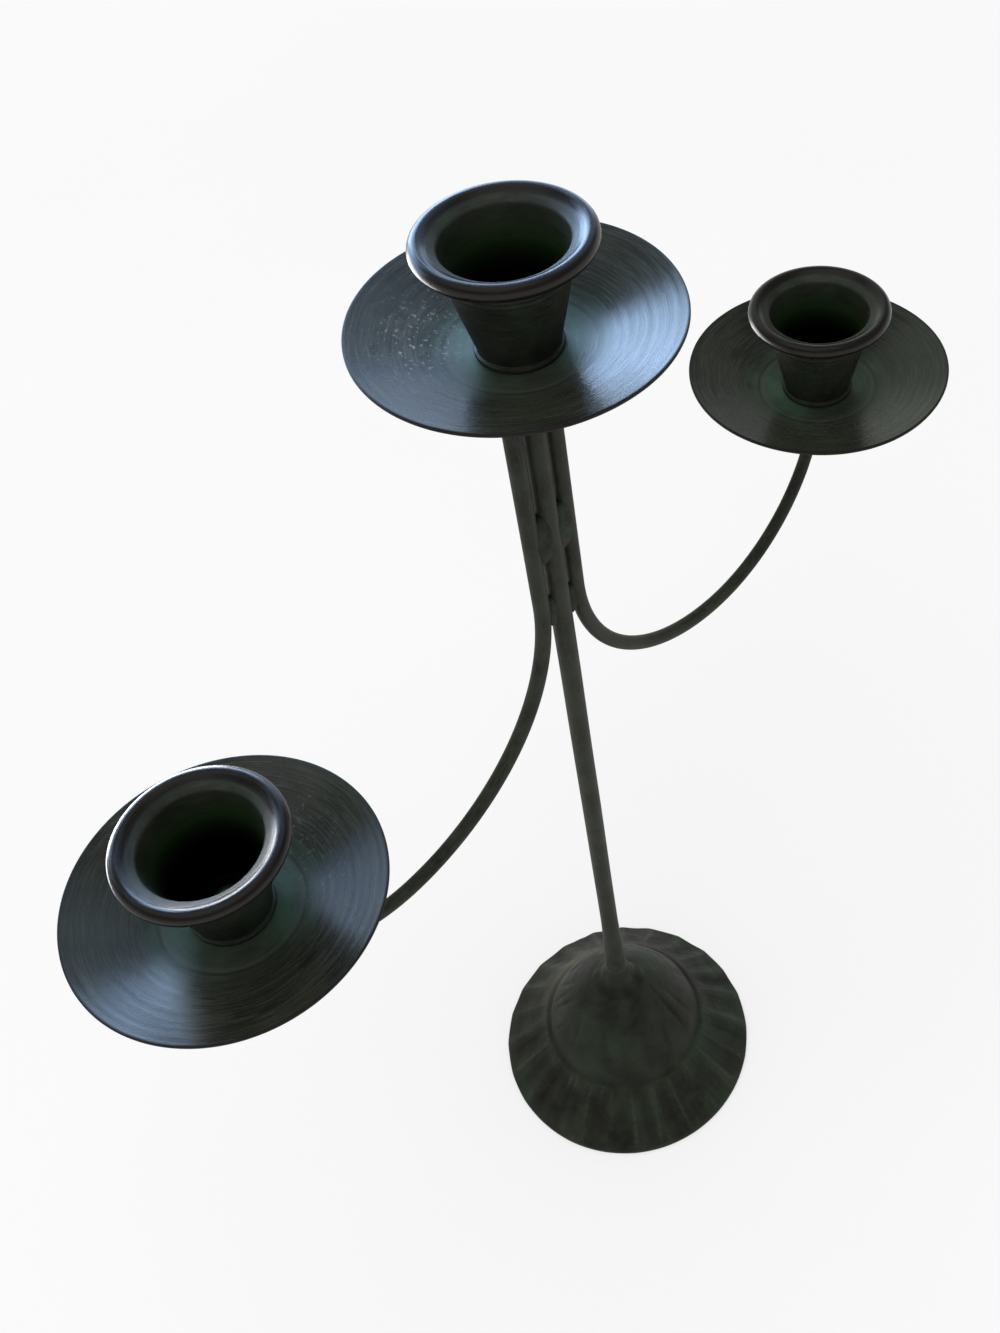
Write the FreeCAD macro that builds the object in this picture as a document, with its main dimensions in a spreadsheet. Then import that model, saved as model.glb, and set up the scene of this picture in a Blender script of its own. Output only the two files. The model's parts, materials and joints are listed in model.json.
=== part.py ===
import FreeCAD, Part
import math
import os
from types import SimpleNamespace

import Sketcher

# Driving dimensions in millimetres. The origin is the centre of the foot on the table,
# +Z is up the stem and +X points along the right arm.
SIZES = {
    # Foot: a bell of sheet with a ring groove and a fluted outer band
    "foot_radius": 40.0,
    "foot_edge": 1.4,
    "foot_sheet": 1.1,
    "foot_rim_width": 2.2,
    "groove_radius": 24.4,
    "groove_height": 16.6,
    "groove_depth": 0.8,
    "groove_width": 2.4,
    "crown_radius": 7.8,
    "crown_height": 41.0,
    "dome_curve": 70.0,
    "flute_count": 24,
    "flute_depth": 0.6,
    "flute_cutter_radius": 7.0,
    # Stem: a straight rod with a thicker root, welded into the crown of the foot
    "stem_radius": 2.5,
    "stem_root_radius": 3.4,
    "stem_root_taper": 30.0,
    "stem_root_clearance": 0.1,
    "stem_tail": 1.0,
    "root_weld_radius": 7.2,
    "root_weld_rise": 9.0,
    "root_weld_edge": 0.2,
    "root_weld_face": 10.8,
    # Arms: thin rods, thickest at the leg beside the stem. They are bent by hand, so each side
    # has its own bend and height
    "leg_radius": 2.05,
    "rod_radius": 1.6,
    "leg_gap": 1.0,
    "arm_reach": 96.1,
    "right_bend_radius": 42.0,
    "left_bend_radius": 38.5,
    "arm_weld_clear": 15.0,
    "arm_weld_bite": 1.9,
    "arm_weld_width": 2.7,
    "arm_weld_length": 4.4,
    "arm_weld_pitch": 4.8,
    # Lights: the height is that of the drip pan's rim
    "centre_rim_height": 299.2,
    "right_rim_height": 224.5,
    "left_rim_height": 219.2,
    "pan_radius": 32.6,
    "pan_seat_radius": 14.2,
    "pan_depth": 6.8,
    "pan_sheet": 0.9,
    "cup_foot_radius": 8.8,
    "cup_foot_height": 1.1,
    "cup_base_radius": 8.1,
    "cup_wall": 0.9,
    "cup_floor": 1.2,
    "cup_throat_radius": 12.2,
    "cup_throat_height": 23.4,
    "cup_neck_drop": 1.8,
    "lip_radius": 15.75,
    "lip_height": 23.65,
    "lip_bead_radius": 1.7,
    # Fixings: a threaded rod end, a collar under the pan, a washer and a nut in the cup
    "thread_radius": 1.5,
    "thread_clearance": 0.1,
    "thread_end": 0.8,
    "collar_radius": 4.0,
    "collar_height": 2.5,
    "collar_clearance": 0.05,
    "washer_radius": 3.5,
    "washer_sheet": 0.6,
    "nut_flats": 5.5,
    "nut_height": 2.4,
}

# The roll of the lip ends on the inner side of the bead, this far above level
BEAD_ROLL_END = math.radians(60)

doc = FreeCAD.newDocument("Candelabra")
UP = FreeCAD.Vector(0, 0, 1)


class Size:
    """A length together with the spreadsheet formula that it comes from."""

    def __init__(self, value, formula):
        self.value = value
        self.formula = formula

    @staticmethod
    def of(other):
        return other if isinstance(other, Size) else Size(other, repr(other))

    def __add__(self, other):
        other = Size.of(other)
        return Size(self.value + other.value, f"({self.formula} + {other.formula})")

    def __sub__(self, other):
        other = Size.of(other)
        return Size(self.value - other.value, f"({self.formula} - {other.formula})")

    def __mul__(self, other):
        other = Size.of(other)
        return Size(self.value * other.value, f"({self.formula} * {other.formula})")

    def __truediv__(self, other):
        other = Size.of(other)
        return Size(self.value / other.value, f"({self.formula} / {other.formula})")

    def __neg__(self):
        return Size(-self.value, f"(0 - {self.formula})")


def root(size):
    return Size(math.sqrt(size.value), f"sqrt({size.formula})")


def larger(first, second):
    return Size(max(first.value, second.value), f"max({first.formula}; {second.formula})")


def slope_angle(across, up):
    """Angle in degrees of a slope that runs so far across and so far up."""
    return Size(math.degrees(math.atan2(up.value, across.value)), f"atan2({up.formula}; {across.formula})")


def make_sheet():
    """Write the driving dimensions into the spreadsheet and return them by name."""
    sheet = doc.addObject("Spreadsheet::Sheet", "Sizes")
    for row, (alias, value) in enumerate(SIZES.items(), start=1):
        sheet.set(f"A{row}", alias.replace("_", " "))
        sheet.set(f"B{row}", str(value))
        sheet.setAlias(f"B{row}", alias)
    doc.recompute()
    return SimpleNamespace(**{alias: Size(value, f"Sizes.{alias}") for alias, value in SIZES.items()})


def bind(thing, prop, size):
    """Tie a property to its formula."""
    thing.setExpression(prop, size.formula)


def move(thing, across=None, up=None):
    """Place a piece along X and Z."""
    if across is not None:
        bind(thing, "Placement.Base.x", across)
    if up is not None:
        bind(thing, "Placement.Base.z", up)


class Arc:
    """A round edge: its radius, the side it turns to and whether it is more than half a circle."""

    def __init__(self, radius, turn, major=False):
        self.radius = radius
        self.turn = turn
        self.major = major

    def curve(self, start, end):
        """Circle arc from start to end, and the arc's end numbers for those two points."""
        chord = end - start
        middle = (start + end) * 0.5
        radius = self.radius.value
        offset = math.sqrt(radius * radius - chord.Length * chord.Length / 4)
        left = FreeCAD.Vector(-chord.y, chord.x, 0).normalize()
        side = 1 if (self.turn == "left") != self.major else -1
        centre = middle + left * (offset * side)
        first, last = (start, end) if self.turn == "left" else (end, start)
        begin = math.atan2(first.y - centre.y, first.x - centre.x)
        finish = math.atan2(last.y - centre.y, last.x - centre.x)
        if finish < begin:
            finish += 2 * math.pi
        arc = Part.ArcOfCircle(Part.Circle(centre, UP, radius), begin, finish)
        return arc, ((1, 2) if self.turn == "left" else (2, 1))


def new_sketch(body, name, role):
    """Empty sketch on one of the body's own origin planes."""
    plane = next(item for item in body.Origin.OriginFeatures if item.Role == role)
    sketch = body.newObject("Sketcher::SketchObject", name)
    sketch.AttachmentSupport = [(plane, "")]
    sketch.MapMode = "FlatFace"
    return sketch


def hold(sketch, geometry, end, axis, size, name):
    """Fix one coordinate of a point: on the other axis where it is zero, else by a dimension."""
    if size.value == 0:
        sketch.addConstraint(Sketcher.Constraint("PointOnObject", geometry, end, -2 if axis == "X" else -1))
        return
    number = sketch.addConstraint(Sketcher.Constraint("Distance" + axis, -1, 1, geometry, end, size.value))
    sketch.renameConstraint(number, name)
    bind(sketch, "Constraints." + name, size)


def draw_chain(body, name, corners, closed=True):
    """Chain of lines and arcs on the XZ plane, every corner held by its distance across and up.

    A corner is (across, up) or (across, up, arc), where the arc is the edge to the next corner.
    """
    sketch = new_sketch(body, name, "XZ_Plane")
    places = [(Size.of(corner[0]), Size.of(corner[1])) for corner in corners]
    points = [FreeCAD.Vector(across.value, up.value, 0) for across, up in places]
    count = len(corners) if closed else len(corners) - 1
    edges = []
    for index in range(count):
        start, end = points[index], points[(index + 1) % len(points)]
        arc = corners[index][2] if len(corners[index]) > 2 else None
        curve, ends = arc.curve(start, end) if arc else (Part.LineSegment(start, end), (1, 2))
        geometry = sketch.addGeometry(curve, False)
        edges.append((geometry, ends))
        hold(sketch, geometry, ends[0], "X", places[index][0], f"across{index}")
        hold(sketch, geometry, ends[0], "Y", places[index][1], f"up{index}")
        if arc:
            number = sketch.addConstraint(Sketcher.Constraint("Radius", geometry, arc.radius.value))
            sketch.renameConstraint(number, f"bend{index}")
            bind(sketch, f"Constraints.bend{index}", arc.radius)
    followers = edges[1:] + edges[:1] if closed else edges[1:]
    for (geometry, ends), (following, next_ends) in zip(edges, followers):
        sketch.addConstraint(Sketcher.Constraint("Coincident", geometry, ends[1], following, next_ends[0]))
    if not closed:
        geometry, ends = edges[-1]
        hold(sketch, geometry, ends[1], "X", places[-1][0], f"across{count}")
        hold(sketch, geometry, ends[1], "Y", places[-1][1], f"up{count}")
    return sketch


def draw_circle(body, name, across, up, radius):
    """Circle on a level plane, so far along X and so far up."""
    sketch = new_sketch(body, name, "XY_Plane")
    bind(sketch, "AttachmentOffset.Base.z", up)
    centre = FreeCAD.Vector(across.value, 0, 0)
    circle = sketch.addGeometry(Part.Circle(centre, UP, radius.value), False)
    hold(sketch, circle, 3, "X", across, "across")
    hold(sketch, circle, 3, "Y", Size.of(0), "aside")
    number = sketch.addConstraint(Sketcher.Constraint("Radius", circle, radius.value))
    sketch.renameConstraint(number, "radius")
    bind(sketch, "Constraints.radius", radius)
    return sketch


def new_body(label):
    body = doc.addObject("PartDesign::Body", label)
    body.Label = label
    return body


def turn_body(label, corners):
    """Body turned about the vertical axis from its half outline."""
    body = new_body(label)
    outline = draw_chain(body, label + "_outline", corners)
    turned = body.newObject("PartDesign::Revolution", label + "_turned")
    turned.Profile = outline
    turned.ReferenceAxis = (outline, ["V_Axis"])
    turned.Angle = 360
    return body


def cylinder(name, radius, height):
    rod = doc.addObject("Part::Cylinder", name)
    bind(rod, "Radius", radius)
    bind(rod, "Height", height)
    return rod


def cut(label, base, tool):
    result = doc.addObject("Part::Cut", label)
    result.Label = label
    result.Base = base
    result.Tool = tool
    return result


s = make_sheet()

# Places that several pieces share
thread_hole = s.thread_radius + s.thread_clearance
thread_length = s.pan_sheet + s.cup_floor + s.washer_sheet + s.nut_height + s.thread_end
pan_height = s.pan_depth + s.pan_sheet
centre_underside = s.centre_rim_height - pan_height
leg_offset = s.stem_radius + s.leg_gap + s.leg_radius
root_top = s.crown_height + s.root_weld_rise

LIGHTS = {
    "centre": SimpleNamespace(across=None, underside=centre_underside),
    "right": SimpleNamespace(
        across=s.arm_reach, underside=s.right_rim_height - pan_height, bend=s.right_bend_radius, turn=0
    ),
    "left": SimpleNamespace(
        across=-s.arm_reach, underside=s.left_rim_height - pan_height, bend=s.left_bend_radius, turn=180
    ),
}
ARMS = {side: light for side, light in LIGHTS.items() if side != "centre"}
for light in ARMS.values():
    light.bend_top = light.underside - s.collar_height
    light.low_point = light.bend_top - light.bend
    light.middle = s.arm_reach - light.bend
    light.inner_bend = light.middle - leg_offset
    light.leg_end = light.low_point + light.inner_bend
arm_weld_height = larger(ARMS["right"].leg_end, ARMS["left"].leg_end) + s.arm_weld_clear


def make_foot():
    """Bell foot: a hollow turned shell, with flutes cut down its outer band."""
    half_groove = s.groove_width / 2
    notch = s.groove_depth * math.sqrt(0.5)
    crown_under = s.crown_height - s.foot_sheet
    hole = s.stem_root_radius + s.stem_root_clearance
    dome = Arc(s.dome_curve, "left")
    dome_under = Arc(s.dome_curve - s.foot_sheet, "right")
    band_top = (s.groove_radius + half_groove, s.groove_height - half_groove)
    body = turn_body("foot", [
        (s.foot_radius - s.foot_rim_width, 0),
        (s.foot_radius, 0),
        (s.foot_radius, s.foot_edge),
        band_top,
        (s.groove_radius - notch, s.groove_height - notch),
        (s.groove_radius - half_groove, s.groove_height + half_groove, dome),
        (s.crown_radius, s.crown_height),
        (hole, s.crown_height),
        (hole, crown_under),
        (s.crown_radius - s.foot_sheet, crown_under, dome_under),
        (s.groove_radius - s.groove_depth - s.foot_sheet, s.groove_height - s.groove_depth - s.foot_sheet),
    ])
    # One flute is a round scoop that lies along the band's slope
    run = s.foot_radius - band_top[0]
    rise = band_top[1] - s.foot_edge
    slope = root(run * run + rise * rise)
    stand_off = s.flute_cutter_radius - s.flute_depth
    flute = body.newObject("PartDesign::SubtractiveCylinder", "flute")
    overrun = s.flute_cutter_radius
    bind(flute, "Radius", s.flute_cutter_radius)
    bind(flute, "Height", slope - s.groove_width + overrun)
    lean = slope_angle(rise, run)
    flute.Placement.Rotation = FreeCAD.Rotation(FreeCAD.Vector(0, -1, 0), lean.value)
    bind(flute, "Placement.Rotation.Angle", lean)
    move(
        flute,
        s.foot_radius + (rise * stand_off + run * overrun) / slope,
        s.foot_edge + (run * stand_off - rise * overrun) / slope,
    )
    ring = body.newObject("PartDesign::PolarPattern", "flutes")
    ring.Originals = [flute]
    ring.Axis = (body.Group[0], ["V_Axis"])
    ring.Angle = 360
    bind(ring, "Occurrences", s.flute_count)
    body.Tip = ring
    return body


def make_stem():
    """Straight rod with a thick root in the crown and a threaded end above its shoulder."""
    bottom = s.crown_height - s.foot_sheet - s.stem_tail
    thread_top = centre_underside + thread_length
    return turn_body("stem", [
        (0, bottom),
        (s.stem_root_radius, bottom),
        (s.stem_root_radius, root_top),
        (s.stem_radius, root_top + s.stem_root_taper),
        (s.stem_radius, centre_underside),
        (s.thread_radius, centre_underside),
        (s.thread_radius, thread_top),
        (0, thread_top),
    ])


def make_stem_weld():
    """Hollow-faced weld around the stem's root, on the flat crown of the foot."""
    face = Arc(s.root_weld_face, "right")
    return turn_body("stem_weld", [
        (s.stem_root_radius, s.crown_height),
        (s.root_weld_radius, s.crown_height),
        (s.root_weld_radius, s.crown_height + s.root_weld_edge, face),
        (s.stem_root_radius + s.root_weld_edge, root_top),
        (s.stem_root_radius, root_top),
    ])


def make_arm(side, light):
    """Thin tapered rod: a leg down beside the stem, two bends out to the side light, a threaded end."""
    label = side + "_arm"
    body = new_body(label)
    path = draw_chain(body, label + "_path", [
        (leg_offset, centre_underside),
        (leg_offset, light.leg_end, Arc(light.inner_bend, "left")),
        (light.middle, light.low_point, Arc(light.bend, "left")),
        (s.arm_reach, light.bend_top),
        (s.arm_reach, light.underside),
    ], closed=False)
    pipe = body.newObject("PartDesign::AdditivePipe", label + "_rod")
    end = draw_circle(body, label + "_end_section", s.arm_reach, light.underside, s.rod_radius)
    pipe.Profile = draw_circle(body, label + "_leg_section", leg_offset, centre_underside, s.leg_radius)
    pipe.Spine = path
    pipe.Transformation = "Multisection"
    pipe.Sections = [(end, [""])]
    thread = body.newObject("PartDesign::Pad", label + "_thread")
    thread.Profile = draw_circle(body, label + "_thread_section", s.arm_reach, light.underside, s.thread_radius)
    bind(thread, "Length", thread_length)
    body.Tip = thread
    body.Placement.Rotation = FreeCAD.Rotation(UP, light.turn)
    return body


def make_arm_weld(side, light, stem, arm):
    """Three runs of weld in the valley between the leg and the stem, shaped by both rods."""
    label = side + "_arm_weld"
    valley = s.stem_radius + s.leg_gap / 2
    if light.turn:
        valley = -valley
    runs = []
    for number in (-1, 0, 1):
        run = doc.addObject("Part::Ellipsoid", f"{label}_run{number + 2}")
        run.Angle1 = -90
        bind(run, "Radius1", s.arm_weld_length)
        bind(run, "Radius2", s.leg_gap / 2 + s.arm_weld_bite)
        bind(run, "Radius3", s.arm_weld_width)
        move(run, valley, arm_weld_height + s.arm_weld_pitch * number)
        runs.append(run)
    clump = doc.addObject("Part::MultiFuse", label + "_runs")
    clump.Shapes = runs
    return cut(label, cut(label + "_beside_stem", clump, stem), arm)


def make_drip_pan(side, light):
    """Shallow dish of thin sheet with a flat seat in the middle."""
    pan = turn_body(side + "_drip_pan", [
        (thread_hole, 0),
        (s.pan_seat_radius, 0),
        (s.pan_radius, s.pan_depth),
        (s.pan_radius, pan_height),
        (s.pan_seat_radius, s.pan_sheet),
        (thread_hole, s.pan_sheet),
    ])
    move(pan, light.across, light.underside)
    return pan


def make_candle_cup(side, light):
    """Tapered cup on a foot ring, with a funnel lip that ends in a rolled bead."""
    bead = s.lip_bead_radius
    roll_start = bead * math.sqrt(0.5)
    roll_end_in = bead * math.cos(BEAD_ROLL_END)
    roll_end_up = bead * math.sin(BEAD_ROLL_END)
    cup = turn_body(side + "_candle_cup", [
        (thread_hole, 0),
        (s.cup_foot_radius, 0),
        (s.cup_foot_radius, s.cup_foot_height),
        (s.cup_base_radius, s.cup_foot_height),
        (s.cup_throat_radius + s.cup_wall, s.cup_throat_height - s.cup_neck_drop),
        (s.lip_radius - roll_start, s.lip_height - roll_start, Arc(bead, "left", major=True)),
        (s.lip_radius - roll_end_in, s.lip_height + roll_end_up),
        (s.cup_throat_radius, s.cup_throat_height),
        (s.cup_base_radius - s.cup_wall, s.cup_floor),
        (thread_hole, s.cup_floor),
    ])
    move(cup, light.across, light.underside + s.pan_sheet)
    return cup


def make_pan_collar(side, light):
    """Plain collar on the rod, under the pan."""
    label = side + "_pan_collar"
    outside = cylinder(label + "_outside", s.collar_radius, s.collar_height)
    bore = cylinder(label + "_bore", s.rod_radius + s.collar_clearance, s.collar_height)
    collar = cut(label, outside, bore)
    move(collar, light.across, light.bend_top)
    return collar


def make_cup_washer(side, light):
    """Flat washer on the floor of the cup."""
    label = side + "_cup_washer"
    outside = cylinder(label + "_outside", s.washer_radius, s.washer_sheet)
    washer = cut(label, outside, cylinder(label + "_bore", thread_hole, s.washer_sheet))
    move(washer, light.across, light.underside + s.pan_sheet + s.cup_floor)
    return washer


def make_cup_nut(side, light):
    """Hexagon nut on the washer."""
    label = side + "_cup_nut"
    outside = doc.addObject("Part::Prism", label + "_outside")
    outside.Polygon = 6
    bind(outside, "Circumradius", s.nut_flats / (2 * math.cos(math.radians(30))))
    bind(outside, "Height", s.nut_height)
    nut = cut(label, outside, cylinder(label + "_bore", thread_hole, s.nut_height))
    move(nut, light.across, light.underside + s.pan_sheet + s.cup_floor + s.washer_sheet)
    return nut


stem = make_stem()
pieces = [make_foot(), stem, make_stem_weld()]
for side, light in ARMS.items():
    arm = make_arm(side, light)
    pieces += [arm, make_arm_weld(side, light, stem, arm), make_pan_collar(side, light)]
for side, light in LIGHTS.items():
    pieces += [make_drip_pan(side, light), make_candle_cup(side, light)]
    pieces += [make_cup_washer(side, light), make_cup_nut(side, light)]

doc.recompute()
for thing in doc.Objects:
    if "Invalid" in thing.State or "Error" in thing.State:
        raise RuntimeError(f"{thing.Label} failed: {thing.State}")
for piece in pieces:
    if piece.Shape.isNull() or not piece.Shape.isValid() or len(piece.Shape.Solids) != 1:
        raise RuntimeError(f"{piece.Label} is not one valid solid")

os.makedirs("parts", exist_ok=True)
for piece in pieces:
    piece.Shape.exportStep(f"parts/{piece.Label}.step")
    print(f"{piece.Label}: {piece.Shape.Volume:.1f} mm3")
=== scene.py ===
"""Dressed model of a three-light candelabra in green-black patinated metal.

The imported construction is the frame. Each operator makes one group of pieces as surfaces worked
out with numpy, in the place of the node that they stand for, and the last one sets the stage.
"""

import json
import math
from types import SimpleNamespace

import bpy
import numpy as np
from bpy.props import FloatProperty, FloatVectorProperty, IntProperty, PointerProperty
from mathutils import Matrix, Vector

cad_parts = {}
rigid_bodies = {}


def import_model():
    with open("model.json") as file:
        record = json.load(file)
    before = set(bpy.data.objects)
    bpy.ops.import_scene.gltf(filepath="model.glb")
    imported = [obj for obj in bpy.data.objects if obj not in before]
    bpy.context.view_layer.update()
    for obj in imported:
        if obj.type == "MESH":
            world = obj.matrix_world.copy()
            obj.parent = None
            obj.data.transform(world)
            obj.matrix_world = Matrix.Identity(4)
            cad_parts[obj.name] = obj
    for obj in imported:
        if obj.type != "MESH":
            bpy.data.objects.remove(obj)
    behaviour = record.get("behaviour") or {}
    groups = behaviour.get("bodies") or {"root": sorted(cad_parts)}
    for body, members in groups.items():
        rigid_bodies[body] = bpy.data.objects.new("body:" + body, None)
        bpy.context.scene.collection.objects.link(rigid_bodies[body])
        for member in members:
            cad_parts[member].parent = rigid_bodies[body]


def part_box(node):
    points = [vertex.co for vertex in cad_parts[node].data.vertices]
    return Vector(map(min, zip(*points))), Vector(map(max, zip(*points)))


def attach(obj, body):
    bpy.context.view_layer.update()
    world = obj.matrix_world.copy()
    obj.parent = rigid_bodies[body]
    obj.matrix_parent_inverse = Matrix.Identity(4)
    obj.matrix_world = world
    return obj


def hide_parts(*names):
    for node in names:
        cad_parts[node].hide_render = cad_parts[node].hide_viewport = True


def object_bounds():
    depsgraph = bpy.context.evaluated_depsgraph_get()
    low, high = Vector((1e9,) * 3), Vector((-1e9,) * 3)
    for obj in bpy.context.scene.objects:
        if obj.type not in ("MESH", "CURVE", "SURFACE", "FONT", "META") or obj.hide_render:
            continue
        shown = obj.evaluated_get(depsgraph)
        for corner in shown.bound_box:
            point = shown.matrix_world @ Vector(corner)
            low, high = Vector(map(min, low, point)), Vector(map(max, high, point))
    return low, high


bl_info = {
    "name": "Three-light candelabra",
    "version": (1, 0, 0),
    "blender": (4, 5, 0),
    "location": "View3D > Sidebar > Candelabra",
    "description": "Makes the pieces of a patinated metal candelabra and its stage",
    "category": "Add Mesh",
}

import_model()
CAD_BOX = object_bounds()

MM = 0.001
FULL_TURN = 2 * math.pi
BODY = "root"
SIDES = ("centre", "right", "left")
ARM_SIDES = ("right", "left")


# Sizes and colours that a user would change

def length(name, description, default):
    """A size in metres."""
    return FloatProperty(
        name=name, description=description, default=default, min=0, precision=5, unit="LENGTH"
    )


def amount(name, description, default, **limits):
    """A plain number, not below 0."""
    return FloatProperty(name=name, description=description, default=default, min=0, **limits)


def angle(name, description, degrees):
    """An angle, given in degrees."""
    return FloatProperty(
        name=name, description=description, default=math.radians(degrees), subtype="ANGLE"
    )


def colour(name, description, default):
    """A scene-linear colour."""
    return FloatVectorProperty(
        name=name, description=description, default=default, min=0, max=1, size=3, subtype="COLOR"
    )


FOOT_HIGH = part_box("foot")[1]
STEM_LOW, STEM_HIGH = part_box("stem")
PAN_LOW, PAN_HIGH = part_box("centre_drip_pan")
CUP_LOW, CUP_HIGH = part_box("centre_candle_cup")
LIP_BEAD = 1.7 * MM
LIP_HEIGHT = CUP_HIGH.z - CUP_LOW.z - LIP_BEAD


class FootSizes(bpy.types.PropertyGroup):
    rim_radius: length("Rim radius", "Half the width of the bell across its rim", FOOT_HIGH.x)
    crown_height: length("Crown height", "Top of the bell, under the stem", FOOT_HIGH.z)
    crown_radius: length("Crown radius", "Where the dome ends and the weld begins", 7.8 * MM)
    edge_height: length("Edge height", "Upright edge of the rim", 1.4 * MM)
    sheet: length("Sheet", "Thickness of the sheet", 1.1 * MM)
    rim_width: length("Rim width", "Flat ring that stands on the table", 2.2 * MM)
    groove_radius: length("Groove radius", "Ring groove between the dome and the fluted band", 24.4 * MM)
    groove_height: length("Groove height", "Height of the ring groove above the table", 16.6 * MM)
    groove_depth: length("Groove depth", "Depth of the ring groove", 0.7 * MM)
    groove_width: length("Groove width", "Width of the ring groove", 1.15 * MM)
    dome_curve: length("Dome curve", "Radius of the dome's arched outline", 70 * MM)
    flute_count: IntProperty(name="Flutes", description="Number of flutes round the band", default=24, min=3)
    flute_depth: length("Flute depth", "Depth of a flute between its two ridges", 0.95 * MM)
    dent_depth: length("Dent depth", "Depth of the creases hammered into the dome", 0.5 * MM)
    hammer_depth: length("Hammer depth", "Height of the slow unevenness left by hammering", 0.16 * MM)
    streak_depth: length("Streak depth", "Depth of the fine streaks across the band", 0.07 * MM)


class RodSizes(bpy.types.PropertyGroup):
    stem_radius: length("Stem radius", "Half the thickness of the stem", 2.5 * MM)
    root_radius: length("Root radius", "Half the thickness of the stem at its root", 3.4 * MM)
    root_rise: length("Root rise", "Height of the root's weld above the crown", 9 * MM)
    root_taper: length("Root taper", "Length over which the root thins to the stem", 30 * MM)
    root_weld_radius: length("Root weld radius", "Half the width of the weld on the crown", 8.6 * MM)
    root_knob_radius: length("Root knob radius", "Half the width of the weld's shoulder", 5.4 * MM)
    leg_radius: length("Leg radius", "Half the thickness of an arm beside the stem", 2.05 * MM)
    rod_radius: length("Rod radius", "Half the thickness of an arm under its light", 1.6 * MM)
    leg_gap: length("Leg gap", "Gap between the stem and an arm's leg", 1 * MM)
    right_bend: length("Right bend", "Radius of the right arm's outer bend", 42 * MM)
    left_bend: length("Left bend", "Radius of the left arm's outer bend", 38.5 * MM)
    hand_wave: length("Hand wave", "Unevenness of the drawn rods", 0.05 * MM)
    thread_radius: length("Thread radius", "Half the thickness of a threaded rod end", 1.5 * MM)
    thread_pitch: length("Thread pitch", "Rise of the thread in one turn", 0.5 * MM)
    thread_depth: length("Thread depth", "Depth of the thread", 0.22 * MM)
    weld_width: length("Weld width", "Half the width of the filling beside the stem", 2.9 * MM)
    weld_depth: length("Weld depth", "Half the depth of the filling beside the stem", 2.25 * MM)
    weld_lump: length("Weld lump", "Height of the lumps on the weld beads", 0.12 * MM)


class LightSizes(bpy.types.PropertyGroup):
    pan_radius: length("Pan radius", "Half the width of a drip pan", PAN_HIGH.x)
    pan_height: length("Pan height", "Height of a drip pan over its rim", PAN_HIGH.z - PAN_LOW.z)
    seat_radius: length("Seat radius", "Flat seat in the middle of a drip pan", 14.2 * MM)
    seat_turn: length("Seat turn", "Soft turn from the seat to the dish, each way", 3.4 * MM)
    pan_sheet: length("Pan sheet", "Thickness of a drip pan's sheet", 0.9 * MM)
    pan_wave: length("Pan wave", "Unevenness of a drip pan's rim", 0.22 * MM)
    ring_depth: length("Ring depth", "Height of the rings left by spinning", 0.012 * MM)
    bore: length("Bore", "Hole for the rod end, half its width", 1.6 * MM)
    cup_foot_radius: length("Cup foot radius", "Ring at the bottom of a cup", 8.8 * MM)
    cup_foot_height: length("Cup foot height", "Height of the ring at the bottom of a cup", 1.1 * MM)
    cup_base_radius: length("Cup base radius", "Cup wall just above its foot ring", 8.1 * MM)
    cup_wall: length("Cup wall", "Thickness of a cup's wall", 0.9 * MM)
    cup_floor: length("Cup floor", "Thickness of a cup's floor", 1.2 * MM)
    throat_radius: length("Throat radius", "Narrow end of the funnel inside a cup", 12.2 * MM)
    throat_height: length("Throat height", "Height of the throat above the cup's underside", 23.4 * MM)
    neck_drop: length("Neck drop", "How far the outer wall ends below the throat", 1.8 * MM)
    lip_radius: length("Lip radius", "Middle line of the rolled lip", 15.75 * MM)
    lip_bead: length("Lip bead", "Radius of the rolled lip's bead", LIP_BEAD)
    lip_height: length("Lip height", "Middle line of the rolled lip above the underside", LIP_HEIGHT)
    collar_radius: length("Collar radius", "Collar under a side pan", 4 * MM)
    washer_radius: length("Washer radius", "Washer on the floor of a cup", 3.5 * MM)
    nut_flats: length("Nut width", "Width of a nut across its flats", 5.5 * MM)


class PatinaColours(bpy.types.PropertyGroup):
    black_green: colour("Black green", "Deep ground of the patina", (0.0105, 0.0120, 0.0080))
    olive: colour("Olive", "Lighter clouds in the patina", (0.0270, 0.0300, 0.0205))
    brown_black: colour("Brown black", "Handled lips and shaded hollows", (0.0075, 0.0054, 0.0044))
    grey_wear: colour("Grey wear", "Rubbed ridges and edges", (0.060, 0.064, 0.051))
    verdigris: colour("Verdigris", "Green bloom in hollows and welds", (0.023, 0.038, 0.023))
    inside: colour("Inside", "Dark green inside the cups", (0.0085, 0.0240, 0.0050))
    # Near black towards the bottom inside the cups, with no gloss there
    soot: colour("Soot", "Black at the bottom of the cups", (0.0018, 0.0028, 0.0012))
    # Painted sheen: the pale patch on the back of the dome stands in for light glancing off it
    pale_wear: colour("Pale wear", "Dusty patch on the back of the dome", (0.115, 0.109, 0.086))
    green_bloom: colour("Green bloom", "Green bloom on the pans round the cups", (0.045, 0.098, 0.056))
    speck: colour("Specks", "Pale specks of bare metal and old wax", (0.30, 0.33, 0.32))
    steel: colour("Steel", "Dulled steel of the fixings", (0.013, 0.013, 0.011))


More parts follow.
